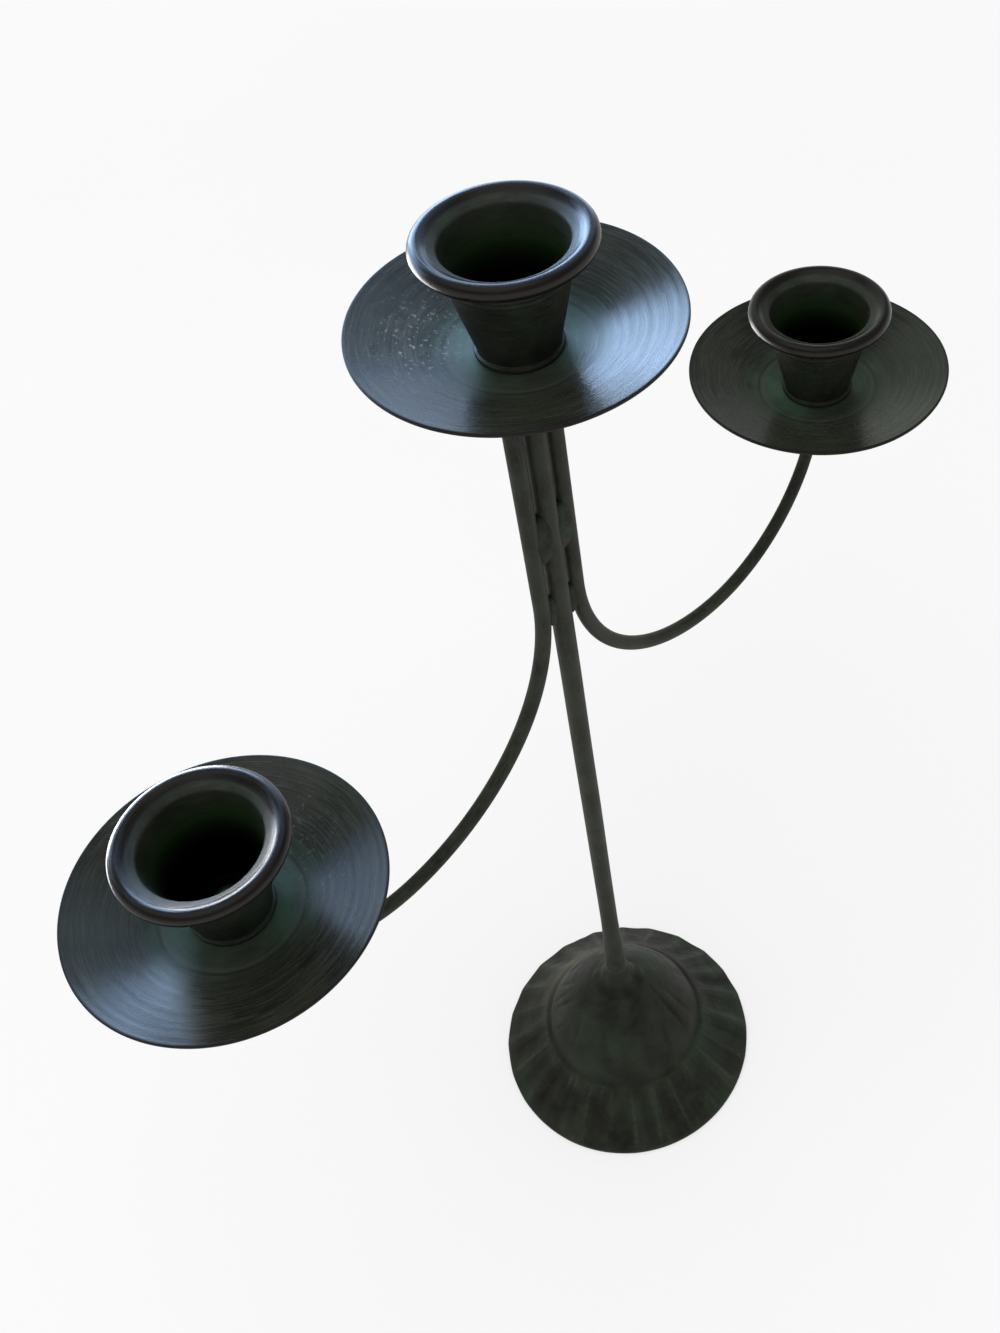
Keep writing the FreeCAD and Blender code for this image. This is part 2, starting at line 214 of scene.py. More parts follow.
class StageSettings(bpy.types.PropertyGroup):
    floor_colour: colour("Floor", "Pale floor", (0.90, 0.90, 0.90))
    floor_glow: amount("Floor glow", "How far the camera sees the floor as plain white", 0.55, max=1)
    backdrop: colour("Backdrop", "What the camera and shiny metal see beyond the floor", (1.0, 1.0, 1.0))
    ceiling: colour("Ceiling", "Dim room above the backdrop, as shiny metal sees it", (0.15, 0.18, 0.19))
    sky_strength: amount("Sky", "Even light from all round", 0.62)
    window_colour: colour("Window", "Cool light beyond the object", (0.44, 0.65, 1.0))
    window_power: amount("Window power", "Light of the middle pane", 2.6)
    window_width: length("Pane width", "Width of each pane of the window", 0.24)
    window_tall: length("Pane height", "Height of each pane of the window", 0.26)
    top_power: amount("Top light power", "Soft light overhead", 20.0)
    top_height: length("Top light height", "Soft light above the floor", 2.0)
    top_size: length("Top light size", "Width of the soft light overhead", 1.8)
    camera_heading: angle("Camera heading", "Where it looks, from the right arm to the back", 46.791)
    camera_pitch: angle("Camera pitch", "How far the camera looks down", 47.759)
    camera_roll: angle("Camera roll", "Lean of the picture", -6.413)
    camera_place: FloatVectorProperty(
        name="Camera place", description="Where the camera stands", default=(-0.14415, -0.17223, 0.46673),
        size=3, subtype="TRANSLATION", unit="LENGTH",
    )


class CandelabraSettings(bpy.types.PropertyGroup):
    foot: PointerProperty(type=FootSizes, name="Foot", description="Sizes of the bell foot")
    rods: PointerProperty(type=RodSizes, name="Rods", description="Sizes of the stem, arms and welds")
    lights: PointerProperty(type=LightSizes, name="Lights", description="Sizes of pans, cups and fixings")
    colours: PointerProperty(type=PatinaColours, name="Colours", description="Colours of the patina")
    stage: PointerProperty(type=StageSettings, name="Stage", description="Floor, lamps and camera")


# Photograph's frame, in pixels: size, focal length and the point on the camera's axis
PHOTO_WIDTH, PHOTO_HEIGHT = 1000, 1333
PHOTO_FOCAL = 1477.8
PHOTO_AXIS = (616.15, 593.66)
SENSOR_WIDTH_MM = 36.0


# Outlines and surfaces

# Points on the grids: round each piece, and along its outline or its rod
FOOT_ROWS, FOOT_OUTER, FOOT_INNER = 576, 128, 28
STEM_ROWS, ARM_ROWS, ROD_POINTS, THREAD_POINTS = 64, 56, 330, 90
ROOT_WELD_ROWS, ROOT_WELD_POINTS = 160, 110
CLUMP_ROWS, CLUMP_POINTS = 120, 130
PAN_ROWS, PAN_POINTS = 288, 200
CUP_ROWS, CUP_POINTS = 224, 250
RING_ROWS, RING_POINTS = 72, 60
NUT_ROWS, NUT_POINTS = 96, 64
# Steps in which an outline is rounded before its points are spread
FINE_STEPS = 6000
# What a sum of even waves is divided by, to stay between about -1 and 1
RIPPLE_EASE = 1.6
# How far the corners of each outline are rounded
FOOT_SOFT, PAN_SOFT, CUP_SOFT, RING_SOFT, NUT_SOFT = 0.25 * MM, 0.28 * MM, 0.3 * MM, 0.16 * MM, 0.1 * MM


def smooth_step(value, low, high):
    """0 below low, 1 above high, and the curve 3t^2 - 2t^3 between them."""
    t = np.clip((value - low) / (high - low), 0, 1)
    return t * t * (3 - 2 * t)


def bell(*ratios):
    """Bell curve: e to minus the sum of the ratios' squares."""
    return np.exp(-sum(ratio ** 2 for ratio in ratios))


def turn_from(angles, bearing):
    """How far angles lie from a bearing in degrees, between minus and plus half a turn."""
    return (angles - math.radians(bearing) + math.pi) % FULL_TURN - math.pi


def arc(across, up, radius, start, stop, count=48):
    """Points on a circle arc, from one angle in degrees to another."""
    turn = np.radians(np.linspace(start, stop, count))
    return np.stack([across + radius * np.cos(turn), up + radius * np.sin(turn)], 1)


def bulge(start, end, radius, count=64):
    """Points on the arc of a given radius from start to end, turning left."""
    start, end = np.array(start), np.array(end)
    chord = end - start
    reach = np.hypot(*chord)
    left = np.array([-chord[1], chord[0]]) / reach
    middle = (start + end) / 2 + left * math.sqrt(radius ** 2 - reach ** 2 / 4)
    first, last = (math.degrees(math.atan2(*(point - middle)[::-1])) for point in (start, end))
    return arc(*middle, radius, first, last + (360 if last < first else 0), count)


def outline(corners, counts, rounding, split=None):
    """Points spread along a closed outline of (radius, height) corners.

    The outline is cut at the corner numbered split into two stretches, each with its own count of
    points. Corners are rounded by averaging the outline over a short stretch on both sides.
    """
    corners = np.vstack([np.atleast_2d(corner) for corner in corners])
    ring = np.vstack([corners, corners[:1]])
    distance = np.concatenate([[0], np.cumsum(np.hypot(*np.diff(ring, axis=0).T))])
    total = distance[-1]
    fine = np.linspace(0, total, FINE_STEPS, endpoint=False)
    half = max(1, int(rounding / (total / FINE_STEPS)))
    kernel = np.ones(2 * half + 1) / (2 * half + 1)
    places = [np.interp(fine, distance, ring[:, axis]) for axis in (0, 1)]
    places = [np.convolve(np.concatenate([p[-half:], p, p[:half]]), kernel, "valid") for p in places]
    if split is None:
        spots = np.linspace(0, total, counts[0], endpoint=False)
    else:
        first = np.linspace(0, distance[split], counts[0], endpoint=False)
        spots = np.concatenate([first, np.linspace(distance[split], total, counts[1], endpoint=False)])
    return np.stack([np.interp(spots, fine, p, period=total) for p in places], 1), spots


def outline_normals(points):
    """Unit normals of a closed outline that runs anticlockwise: its direction turned right."""
    along = np.roll(points, -1, 0) - np.roll(points, 1, 0)
    along /= np.linalg.norm(along, axis=1, keepdims=True)
    return np.stack([along[:, 1], -along[:, 0]], 1)


def turned(points, angles, across, push=0.0):
    """Outline carried round an upright axis: x = across + r cos a, y = r sin a, z = height.

    Push moves each point along the outline's normal.
    """
    normals = outline_normals(points)
    shape = (len(angles), len(points))
    radius, height = (np.broadcast_to(points[:, axis] + push * normals[:, axis], shape) for axis in (0, 1))
    around = angles[:, None]
    return np.stack([across + radius * np.cos(around), radius * np.sin(around), height], -1)


def tube(path, radius, angles):
    """Circle carried along a path in the plane y = 0: centre + radius (cos a normal + sin a Y)."""
    along = np.gradient(path, axis=0)
    along /= np.linalg.norm(along, axis=1, keepdims=True)
    around = angles[:, None]
    out = radius * np.cos(around)
    x = path[:, 0] + out * along[:, 1]
    z = path[:, 1] - out * along[:, 0]
    return np.stack([x, np.broadcast_to(radius * np.sin(around), x.shape), z], -1)


def ripple(around, along, seed, waves=9, quick=5):
    """Uneven waves between about -1 and 1.

    They are the mean of cosines of whole turns around and of uneven paces along, brought to an even
    height whatever their count.
    """
    draw = np.random.default_rng(seed)
    turns = draw.integers(1, quick + 1, waves)
    paces = draw.uniform(-1, 1, waves)
    starts = draw.uniform(0, FULL_TURN, waves)
    phase = around[..., None] * turns + along[..., None] * paces + starts
    return np.cos(phase).mean(-1) * math.sqrt(waves) / RIPPLE_EASE


def circle(count):
    """Angles of a full turn, evenly spread."""
    return np.linspace(0, FULL_TURN, count, endpoint=False)


def thread_relief(angles, height, sizes):
    """Thread on a rod end: a triangle wave in height less angle, that fades in over its first pitch."""
    phase = height / sizes.thread_pitch - angles[:, None] / FULL_TURN
    wave = 2 * np.abs(phase - np.floor(phase) - 0.5)
    return -sizes.thread_depth * wave * smooth_step(height, height[0], height[0] + sizes.thread_pitch)


def add_piece(name, points, finish, node, loop=True, marks=None):
    """Mesh of a grid of points that stands for one CAD node, or for none.

    The grid closes round its rows. Along its columns it closes too, or it ends in two flat caps.
    The UV map runs along the columns in u and round the rows in v. Marks are values kept at each
    point for the finish to read.
    """
    rows, columns = points.shape[:2]
    row, column = np.meshgrid(np.arange(rows), np.arange(columns if loop else columns - 1), indexing="ij")
    corner_row = np.stack([row, row + 1, row + 1, row], -1).reshape(-1, 4)
    corner_column = np.stack([column, column, column + 1, column + 1], -1).reshape(-1, 4)
    quads = (corner_row % rows) * columns + corner_column % columns
    faces = quads.tolist()
    if not loop:
        ring = np.arange(rows) * columns
        faces += [ring[::-1].tolist(), (ring + columns - 1).tolist()]
    mesh = bpy.data.meshes.new(name)
    mesh.from_pydata(points.reshape(-1, 3), [], faces)
    flat_caps = np.zeros(len(faces) - len(quads), bool)
    mesh.polygons.foreach_set("use_smooth", np.concatenate([np.ones(len(quads), bool), flat_caps]))
    steps = np.linalg.norm(np.diff(points[0], axis=0, append=points[0, :1]), axis=1)
    reach = np.concatenate([[0], np.cumsum(steps)]) / steps.sum()
    uv = np.zeros((len(mesh.loops), 2))
    uv[:quads.size, 0] = reach[corner_column].ravel()
    uv[:quads.size, 1] = corner_row.ravel() / rows
    mesh.uv_layers.new(name="UVMap").data.foreach_set("uv", uv.ravel())
    for mark, values in (marks or {}).items():
        values = np.ascontiguousarray(values, np.float32)
        kind, field = ("FLOAT", "value") if values.ndim == 2 else ("FLOAT_VECTOR", "vector")
        mesh.attributes.new(mark, kind, "POINT").data.foreach_set(field, values.ravel())
    mesh.materials.append(finish)
    mesh.validate()
    piece = bpy.data.objects.new(name, mesh)
    bpy.context.scene.collection.objects.link(piece)
    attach(piece, BODY)
    if node:
        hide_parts(node)


def spin_mark(distance, angles):
    """Coordinates for spun marks: millimetres along the outline, and the direction round the axis."""
    shape = (len(angles), len(distance))
    along = np.broadcast_to(distance / MM, shape)
    around = np.broadcast_to(angles[:, None], shape)
    return np.stack([along, np.cos(around), np.sin(around)], -1)


# Finishes

WHITE = (1.0, 1.0, 1.0, 1.0)


class NodeKit:
    """A node tree in the making: short ways to add and join the nodes that it needs."""

    def __init__(self, tree):
        self.tree = tree

    def node(self, kind, inputs=None, **settings):
        """Adds a node, with its settings, and feeds its inputs by name or number."""
        node = self.tree.nodes.new(kind)
        for key, value in settings.items():
            setattr(node, key, value)
        for key, value in (inputs or {}).items():
            self.feed(node.inputs[key], value)
        return node

    def feed(self, socket, value):
        """Joins an output to a socket, or sets the socket's constant."""
        if isinstance(value, bpy.types.NodeSocket):
            self.tree.links.new(value, socket)
        else:
            socket.default_value = value

    def spread(self, value, low, high, to_low=0.0, to_high=1.0):
        """Maps low..high to another range and stops at its ends."""
        inputs = {"Value": value, "From Min": low, "From Max": high, "To Min": to_low, "To Max": to_high}
        return self.node("ShaderNodeMapRange", inputs).outputs["Result"]

    def math(self, operation, first, second=0.0):
        return self.node("ShaderNodeMath", {0: first, 1: second}, operation=operation).outputs["Value"]

    def times(self, first, second):
        return self.math("MULTIPLY", first, second)

    def blend(self, factor, first, second):
        """First colour where the factor is 0, second where it is 1."""
        inputs = {0: factor, 6: self.paint(first), 7: self.paint(second)}
        return self.node("ShaderNodeMix", inputs, data_type="RGBA").outputs[2]

    def paint(self, value):
        """A colour property as a socket's colour; an output as it is."""
        return value if isinstance(value, bpy.types.NodeSocket) else (*value, 1.0)

    def rays(self):
        """1 for rays that show what they meet, from the camera, metal or glass, and 1 for metal's alone."""
        rays = self.node("ShaderNodeLightPath").outputs
        seen = self.math("MAXIMUM", rays["Is Camera Ray"], rays["Is Glossy Ray"])
        return self.math("MAXIMUM", seen, rays["Is Transmission Ray"]), rays["Is Glossy Ray"]


class Finish(NodeKit):
    """A material in the making, with the Object coordinates, in metres, as its place."""

    def __init__(self, name):
        self.material = bpy.data.materials.new(name)
        self.material.use_nodes = True
        super().__init__(self.material.node_tree)
        self.shader = self.tree.nodes["Principled BSDF"]
        self.place = self.node("ShaderNodeTexCoord").outputs["Object"]

    def mark(self, name, output="Fac"):
        """A value kept on the piece."""
        return self.node("ShaderNodeAttribute", attribute_name=name).outputs[output]

    def stretch(self, vector, scale):
        return self.node("ShaderNodeMapping", {"Vector": vector, "Scale": scale}).outputs["Vector"]

    def noise(self, vector, scale, detail=3.0, roughness=0.55):
        inputs = {"Vector": vector, "Scale": scale, "Detail": detail, "Roughness": roughness}
        return self.node("ShaderNodeTexNoise", inputs).outputs["Fac"]

    def grain(self, scale, detail=3.0, roughness=0.55):
        """Noise of the place."""
        return self.noise(self.place, scale, detail, roughness)

    def near(self, value, spot, inner, outer, most):
        """Most where a value lies within inner of a spot, and 0 from outer on."""
        apart = self.math("ABSOLUTE", self.math("SUBTRACT", value, spot))
        return self.spread(apart, inner, outer, most, 0.0)

    def patina(self, colours, clouds, bloom):
        """Ground of the patina: olive clouds on black green, with verdigris where the bloom is."""
        ground = self.blend(clouds, colours.black_green, colours.olive)
        return self.blend(bloom, ground, colours.verdigris)

    def bump(self, height, distance, strength):
        inputs = {"Height": height, "Distance": distance, "Strength": strength}
        return self.node("ShaderNodeBump", inputs).outputs["Normal"]

    def wear(self, **inputs):
        """Sets the shader's sockets, named with underscores for spaces, and gives the material back."""
        for key, value in inputs.items():
            self.feed(self.shader.inputs[key.replace("_", " ").title().replace("Ior", "IOR")], value)
        return self.material


def hammered_patina(colours):
    """Foot: matt cloudy patina, rubbed grey along the ridges and greyer towards the back as painted sheen,
    brown in the hollows, a painted sheen in a pale patch on the back of the dome, and a fine grain.
    """
    finish = Finish("hammered_patina")
    grain = finish.grain(1500, 2, 0.6)
    relief = finish.mark("relief")
    clouds = finish.spread(finish.grain(130, 5, 0.65), 0.34, 0.66)
    flat = finish.stretch(finish.place, (1, 1, 1.4))
    bloom = finish.spread(finish.noise(flat, 48, 4, 0.6), 0.47, 0.68, 0, 0.85)
    ground = finish.patina(colours, clouds, bloom)
    blotch = finish.spread(finish.grain(210, 4, 0.6), 0.26, 0.48)
    hollow = finish.times(finish.spread(relief, -0.6, 0.0, 0.85, 0), blotch)
    ground = finish.blend(hollow, ground, colours.brown_black)
    # Grey along the ridges: rubbing wear, and painted sheen where the ridges mark grows towards the back of
    # the foot
    rubbed = finish.times(finish.spread(relief, 0.05, 0.28, 0, 0.85), finish.spread(grain, 0.25, 0.6))
    ground = finish.blend(finish.times(rubbed, blotch), ground, colours.grey_wear)
    # Painted sheen: a pale patch on the back of the dome, painted where light glances off it
    patchy = finish.spread(finish.grain(170, 4, 0.6), 0.32, 0.62, 0.55, 0.95)
    ground = finish.blend(finish.times(finish.mark("worn"), patchy), ground, colours.pale_wear)
    height = finish.math("ADD", finish.times(grain, 0.35), finish.grain(420))
    return finish.wear(
        base_color=ground,
        roughness=finish.spread(finish.grain(260), 0.3, 0.7, 0.50, 0.68),
        metallic=0.15,
        specular_ior_level=0.14,
        normal=finish.bump(height, 0.25 * MM, 0.6),
    )


def drawn_rod_patina(colours):
    """Rods: dark patina with faint marks along the rod, green breath in patches and grey rubbed spots."""
    finish = Finish("drawn_rod_patina")
    clouds = finish.spread(finish.grain(120, 4), 0.25, 0.6)
    streak = finish.noise(finish.stretch(finish.mark("along", "Vector"), (0.35, 3.0, 3.0)), 1.0, 4)
    grain = finish.grain(1700, 2, 0.6)
    ground = finish.patina(colours, clouds, finish.spread(finish.grain(60), 0.56, 0.74, 0, 0.5))
    rubbed = finish.times(finish.spread(streak, 0.45, 0.7, 0, 0.75), grain)
    ground = finish.blend(rubbed, ground, colours.grey_wear)
    height = finish.math("ADD", finish.times(streak, 0.7), finish.times(grain, 0.5))
    return finish.wear(
        base_color=ground,
        roughness=finish.spread(streak, 0.3, 0.7, 0.46, 0.64),
        metallic=0.15,
        specular_ior_level=0.16,
        normal=finish.bump(height, 0.12 * MM, 0.5),
    )


def crusted_weld(colours):
    """Welds: crusted patina, pitted, with patches of green bloom on its lumps."""
    finish = Finish("crusted_weld")
    crust = finish.grain(520, 4, 0.65)
    clouds = finish.spread(finish.grain(190), 0.36, 0.7)
    ground = finish.patina(colours, clouds, finish.spread(finish.grain(240), 0.50, 0.66, 0, 0.85))
    pits = finish.spread(finish.mark("relief"), -1.2, -0.6, 0.95, 0)
    return finish.wear(
        base_color=finish.blend(pits, ground, colours.brown_black),
        roughness=finish.spread(crust, 0.3, 0.7, 0.55, 0.78),
        metallic=0.1,
        specular_ior_level=0.14,
        normal=finish.bump(crust, 0.3 * MM, 0.6),
    )


# Places on a pan, in millimetres from its axis: line round the seat, edge of the seat, start of the rim
PAN_LINE, PAN_SEAT_EDGE, PAN_RIM = 14.9, 14.0, (31.9, 32.4)


def brushed_pan(colours):
    """Pans: dark satin metal brushed in rings, green bloom round the cup, left out of a wedge beside it as
    the cup's painted shadow and reflection, and pale specks of wear.
    """
    finish = Finish("brushed_pan")
    spin = finish.mark("spin", "Vector")
    radius = finish.node("ShaderNodeSeparateXYZ", {"Vector": spin}).outputs["X"]
    fine = finish.noise(finish.stretch(spin, (7.0, 4.5, 4.5)), 1.0, 3, 0.6)
    broad = finish.noise(finish.stretch(spin, (1.6, 2.4, 2.4)), 1.0)
    marks = finish.math("ADD", finish.times(fine, 0.6), finish.times(broad, 0.4))
    clouds = finish.spread(finish.grain(55, 4), 0.35, 0.7)
    ground = finish.blend(clouds, colours.black_green, colours.olive)
    ground = finish.blend(finish.spread(marks, 0.45, 0.70, 0, 0.5), ground, colours.grey_wear)
    near_cup = finish.spread(radius, 11.0, 19.5, 1.0, 0.0)
    bloom = finish.spread(finish.grain(110, 4, 0.6), 0.36, 0.66, 0.3, 0.95)
    # Painted shadow and reflection: the bloom mark leaves the green out of a wedge beside the cup, where the
    # cup's shadow and mirror image fall
    bloom = finish.times(finish.times(near_cup, bloom), finish.mark("bloom"))
    ground = finish.blend(bloom, ground, colours.green_bloom)
    ground = finish.blend(finish.near(radius, PAN_LINE, 0.15, 0.5, 0.6), ground, colours.black_green)
    ground = finish.blend(finish.near(radius, PAN_SEAT_EDGE, 0.2, 0.8, 0.4), ground, colours.grey_wear)
    specks = finish.spread(finish.grain(1150, 2, 0.5), 0.60, 0.69)
    haze = finish.spread(finish.grain(260, 4, 0.6), 0.42, 0.72, 0.0, 0.16)
    specks = finish.times(finish.math("MAXIMUM", specks, haze), finish.mark("worn"))
    ground = finish.blend(specks, ground, colours.speck)
    matt = finish.spread(radius, 11.5, 19.0, 0.22, 0.0)
    rough = finish.math("ADD", finish.spread(marks, 0.35, 0.65, 0.20, 0.34), matt)
    tangent = finish.node("ShaderNodeTangent", direction_type="UV_MAP", uv_map="UVMap")
    return finish.wear(
        base_color=finish.blend(finish.spread(radius, *PAN_RIM), ground, colours.brown_black),
        roughness=finish.math("ADD", rough, finish.spread(radius, *PAN_RIM, 0.0, 0.3)),
        metallic=0.1,
        specular_ior_level=0.32,
        anisotropic=0.8,
        tangent=tangent.outputs["Tangent"],
        normal=finish.bump(marks, 0.07 * MM, 0.6),
    )


def spun_cup(colours):
    """Cups: satin patina with rings from spinning, brown-black on the handled lip, green and dark inside."""
    finish = Finish("spun_cup")
    lip, inside = finish.mark("lip"), finish.mark("inside")
    rings = finish.noise(finish.stretch(finish.mark("spin", "Vector"), (2.4, 2.2, 2.2)), 1.0, 4, 0.6)
    clouds = finish.spread(finish.grain(90, 4), 0.35, 0.7)
    ground = finish.patina(colours, clouds, finish.spread(finish.grain(130, 4), 0.48, 0.7, 0, 0.6))
    ground = finish.blend(finish.spread(rings, 0.5, 0.7, 0, 0.3), ground, colours.grey_wear)
    ground = finish.blend(finish.spread(inside, 0.0, 0.3, 0, 0.9), ground, colours.inside)
    # Darker towards the bottom inside, to near black
    ground = finish.blend(finish.spread(inside, 0.3, 0.75, 0, 0.97), ground, colours.soot)
    rough = finish.spread(rings, 0.3, 0.7, 0.44, 0.60)
    return finish.wear(
        base_color=finish.blend(finish.times(lip, 0.92), ground, colours.brown_black),
        roughness=finish.math("SUBTRACT", rough, finish.times(lip, 0.26)),
        # No gloss towards the bottom inside: the metallic rises on the near-black colour
        metallic=finish.spread(inside, 0.3, 0.75, 0.1, 1.0),
        specular_ior_level=0.28,
        normal=finish.bump(rings, 0.08 * MM, 0.5),
    )


def dull_steel(colours):
    """Fixings: dulled steel with a brown-black film and a fine grain."""
    finish = Finish("dull_steel")
    film = finish.spread(finish.grain(330, 4), 0.35, 0.65)
    grain = finish.grain(2600, 2)
    return finish.wear(
        base_color=finish.blend(film, colours.steel, colours.brown_black),
        roughness=finish.spread(grain, 0.3, 0.7, 0.5, 0.7),
        metallic=0.5,
        specular_ior_level=0.2,
        normal=finish.bump(grain, 0.05 * MM, 0.5),
    )


def finish_of(make):
    """The material that a finish function makes, made once."""
    return bpy.data.materials.get(make.__name__) or make(bpy.context.scene.candelabra.colours)


# Places read from the frame

def light_place(side):
    """Axis and underside of one light's pan, and the underside of its cup."""
    low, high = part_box(f"{side}_drip_pan")
    return SimpleNamespace(across=(low.x + high.x) / 2, pan=low.z, cup=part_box(f"{side}_candle_cup")[0].z)


# Pieces

# Creases in the dome: bearing and height of the middle, length, width, lean, share of the full depth
DENTS = (
    (117, 28.5, 11.0, 0.9, 0.25, 0.9),
    (128, 26.0, 9.0, 0.8, 0.1, 0.7),
    (139, 29.0, 11.0, 0.9, 0.3, 0.9),
    (97, 27.0, 9.0, 1.0, -0.3, 0.8),
    (153, 24.5, 9.0, 0.9, 0.3, 0.7),
    (172, 28.0, 10.0, 1.1, -0.2, 0.4),
    (205, 30.0, 10.0, 1.2, -0.2, 0.4),
    (226, 25.0, 11.0, 1.5, -0.1, 0.3),
    (247, 27.0, 12.0, 1.4, 0.1, 0.35),
    (268, 26.5, 9.0, 1.0, 0.2, 0.5),
    (291, 30.0, 15.0, 0.9, 0.12, 1.0),
    (305, 28.0, 12.0, 0.9, 0.1, 0.6),
    (328, 27.0, 10.0, 1.2, -0.2, 0.4),
    (20, 28.0, 10.0, 1.0, -0.3, 0.6),
    (62, 29.0, 10.0, 1.0, 0.3, 0.6),
)
# Bearing at which the ring groove is faintest and the flutes shallowest, and what is left of them there
FOOT_FRONT, FRONT_FLUTES, FRONT_GROOVE = math.radians(232), 0.35, 0.12
# Flutes: how far they wander and bow, in radians, and the power that makes their ridges narrow
FLUTE_WANDER, FLUTE_BOW, FLUTE_POWER = 0.05, 0.30, 1.25
# How far the ring groove wanders, and how long the waves left by hammering are
GROOVE_WANDER, HAMMER_LENGTH = 0.45 * MM, 7 * MM
# Painted sheen: a patch on the back of the dome painted paler where light glances off it: bearing, spread
# round the dome, height and reach up and down
PAINTED_SHEEN_BEARING, PAINTED_SHEEN_SPREAD, PAINTED_SHEEN_HEIGHT, PAINTED_SHEEN_REACH = 80, math.radians(30), 18 * MM, 9 * MM
# How far the dome inside starts from the groove, inwards and down, in sheets
INNER_DOME_STEP = 1.7


def foot_outline(foot):
    """Outline of the bell: up the rim's edge, along the band, over the dome and back inside the sheet."""
    bore = bpy.context.scene.candelabra.rods.root_radius
    under = foot.crown_height - foot.sheet
    step = INNER_DOME_STEP * foot.sheet
    groove, crown = (foot.groove_radius, foot.groove_height), (foot.crown_radius, foot.crown_height)
    dome = bulge(groove, crown, foot.dome_curve)
    inner_groove = (foot.groove_radius - step, foot.groove_height - step)
    inner_dome = bulge(inner_groove, (foot.crown_radius - foot.sheet, under), foot.dome_curve)[::-1]
    corners = [
        (foot.rim_radius, 0), (foot.rim_radius, foot.edge_height), dome, (bore, foot.crown_height),
        (bore, under), inner_dome, (foot.rim_radius - foot.rim_width, 0),
    ]
    bore_corner = 2 + len(dome) + 1
    return outline(corners, (FOOT_OUTER, FOOT_INNER), FOOT_SOFT, bore_corner)


def foot_relief(foot, points, spots, angles):
    """Relief of the bell's outer face, in metres along its normal, with 0 on the inner face.

    Flutes: depth times a power of |sin| of half the flute count times an angle that wanders and bows
    a little, so that ridges are narrow and valleys round. Groove: a bell curve of the distance from the
    ring. Dents: bell curves, long along a slanted line. Hammering: slow ripples. Streaks: quick ones.
    Gives the relief, and the share of it that darkens the patina.
    """
    around = angles[:, None]
    radius, height = points[:, 0], points[:, 1]
    outer = (np.arange(len(points)) < FOOT_OUTER).astype(float)
    band = (foot.rim_radius - radius) / (foot.rim_radius - foot.groove_radius)
    still = np.zeros_like(around)
    back = 0.5 - 0.5 * np.cos(around - FOOT_FRONT)
    wander = FLUTE_WANDER * ripple(around, still, seed=3, quick=9)
    bow = FLUTE_BOW * band * (1 - band) * ripple(around, still, seed=4, quick=5)
    scoop = np.abs(np.sin(foot.flute_count / 2 * (around + wander + bow))) ** FLUTE_POWER
    deep = FRONT_FLUTES + (1 - FRONT_FLUTES) * back
    deep = deep * (0.85 + 0.5 * ripple(around, still, seed=5, quick=13))
    rim = 0.12 + 0.5 * back ** 2
    reach = (rim + (1 - rim) * smooth_step(band, 0.0, 0.3)) * (1 - smooth_step(band, 0.6, 0.97))
    flutes = -foot.flute_depth * scoop * deep * reach
    ring = foot.groove_radius + GROOVE_WANDER * ripple(around, still, seed=8) - radius
    groove = bell(ring * math.sqrt(2) / foot.groove_width)
    groove = -foot.groove_depth * (FRONT_GROOVE + (1 - FRONT_GROOVE) * back) * groove
    streaks = foot.streak_depth * ripple(around, 2 * band, seed=12, waves=16, quick=96)
    streaks = streaks * smooth_step(band, 0.0, 0.15) * (1 - smooth_step(band, 0.75, 1.0))
    dome = smooth_step(height, foot.groove_height - 1 * MM, foot.groove_height + 3 * MM)
    dents = 0
    for bearing, up, long, wide, lean, share in DENTS:
        above = height - up * MM
        sideways = turn_from(around, bearing) * radius - lean * above
        dents = dents - share * foot.dent_depth * bell(sideways / (wide * MM), above / (long * MM / 2))
    hammer = foot.hammer_depth * ripple(around, spots / HAMMER_LENGTH, seed=11, waves=16, quick=14)
    hammer = np.minimum(hammer, 0) * (1 - dome) + hammer * dome
    crown_fade = 1 - smooth_step(height, foot.crown_height - 3 * MM, foot.crown_height)
    relief = (flutes + groove + np.minimum(streaks, 0) + (dents * dome + hammer) * crown_fade) * outer
    return relief, (flutes + groove + 2 * streaks + 1.1 * dents * dome + 0.5 * hammer) * outer


class CANDELABRA_OT_foot(bpy.types.Operator):
    """Bell foot of hammered sheet, with a ring groove and a fluted band"""

    bl_idname = "candelabra.foot"
    bl_label = "Bell foot"

    def execute(self, context):
        foot = context.scene.candelabra.foot
        points, spots = foot_outline(foot)
        angles = circle(FOOT_ROWS)
        around, height = angles[:, None], points[:, 1]
        relief, darkening = foot_relief(foot, points, spots, angles)
        surface = turned(points, angles, 0, relief)
        surface[..., 2] = np.maximum(surface[..., 2], 0)
        # Painted sheen: where the pale patch on the back of the dome is painted, for light glancing off it
        worn = bell(turn_from(around, PAINTED_SHEEN_BEARING) / PAINTED_SHEEN_SPREAD, (height - PAINTED_SHEEN_HEIGHT) / PAINTED_SHEEN_REACH)
        band = 1 - smooth_step(height, foot.groove_height - 1 * MM, foot.groove_height + 2 * MM)
        # Ridges: grey rubbing wear all round, and more of it towards the back, away from FOOT_FRONT, as
        # painted sheen
        ridges = band * (0.12 + 0.065 * (1 - np.cos(around - FOOT_FRONT)))
        marks = {"relief": darkening / foot.flute_depth + ridges, "worn": worn}
        add_piece("bell_foot", surface, finish_of(hammered_patina), "foot", marks=marks)
        return {"FINISHED"}


def rod_marks(along, angles):
    """Coordinates for marks along a rod: millimetres along it and the direction round it."""
    return {"along": spin_mark(along, angles)}


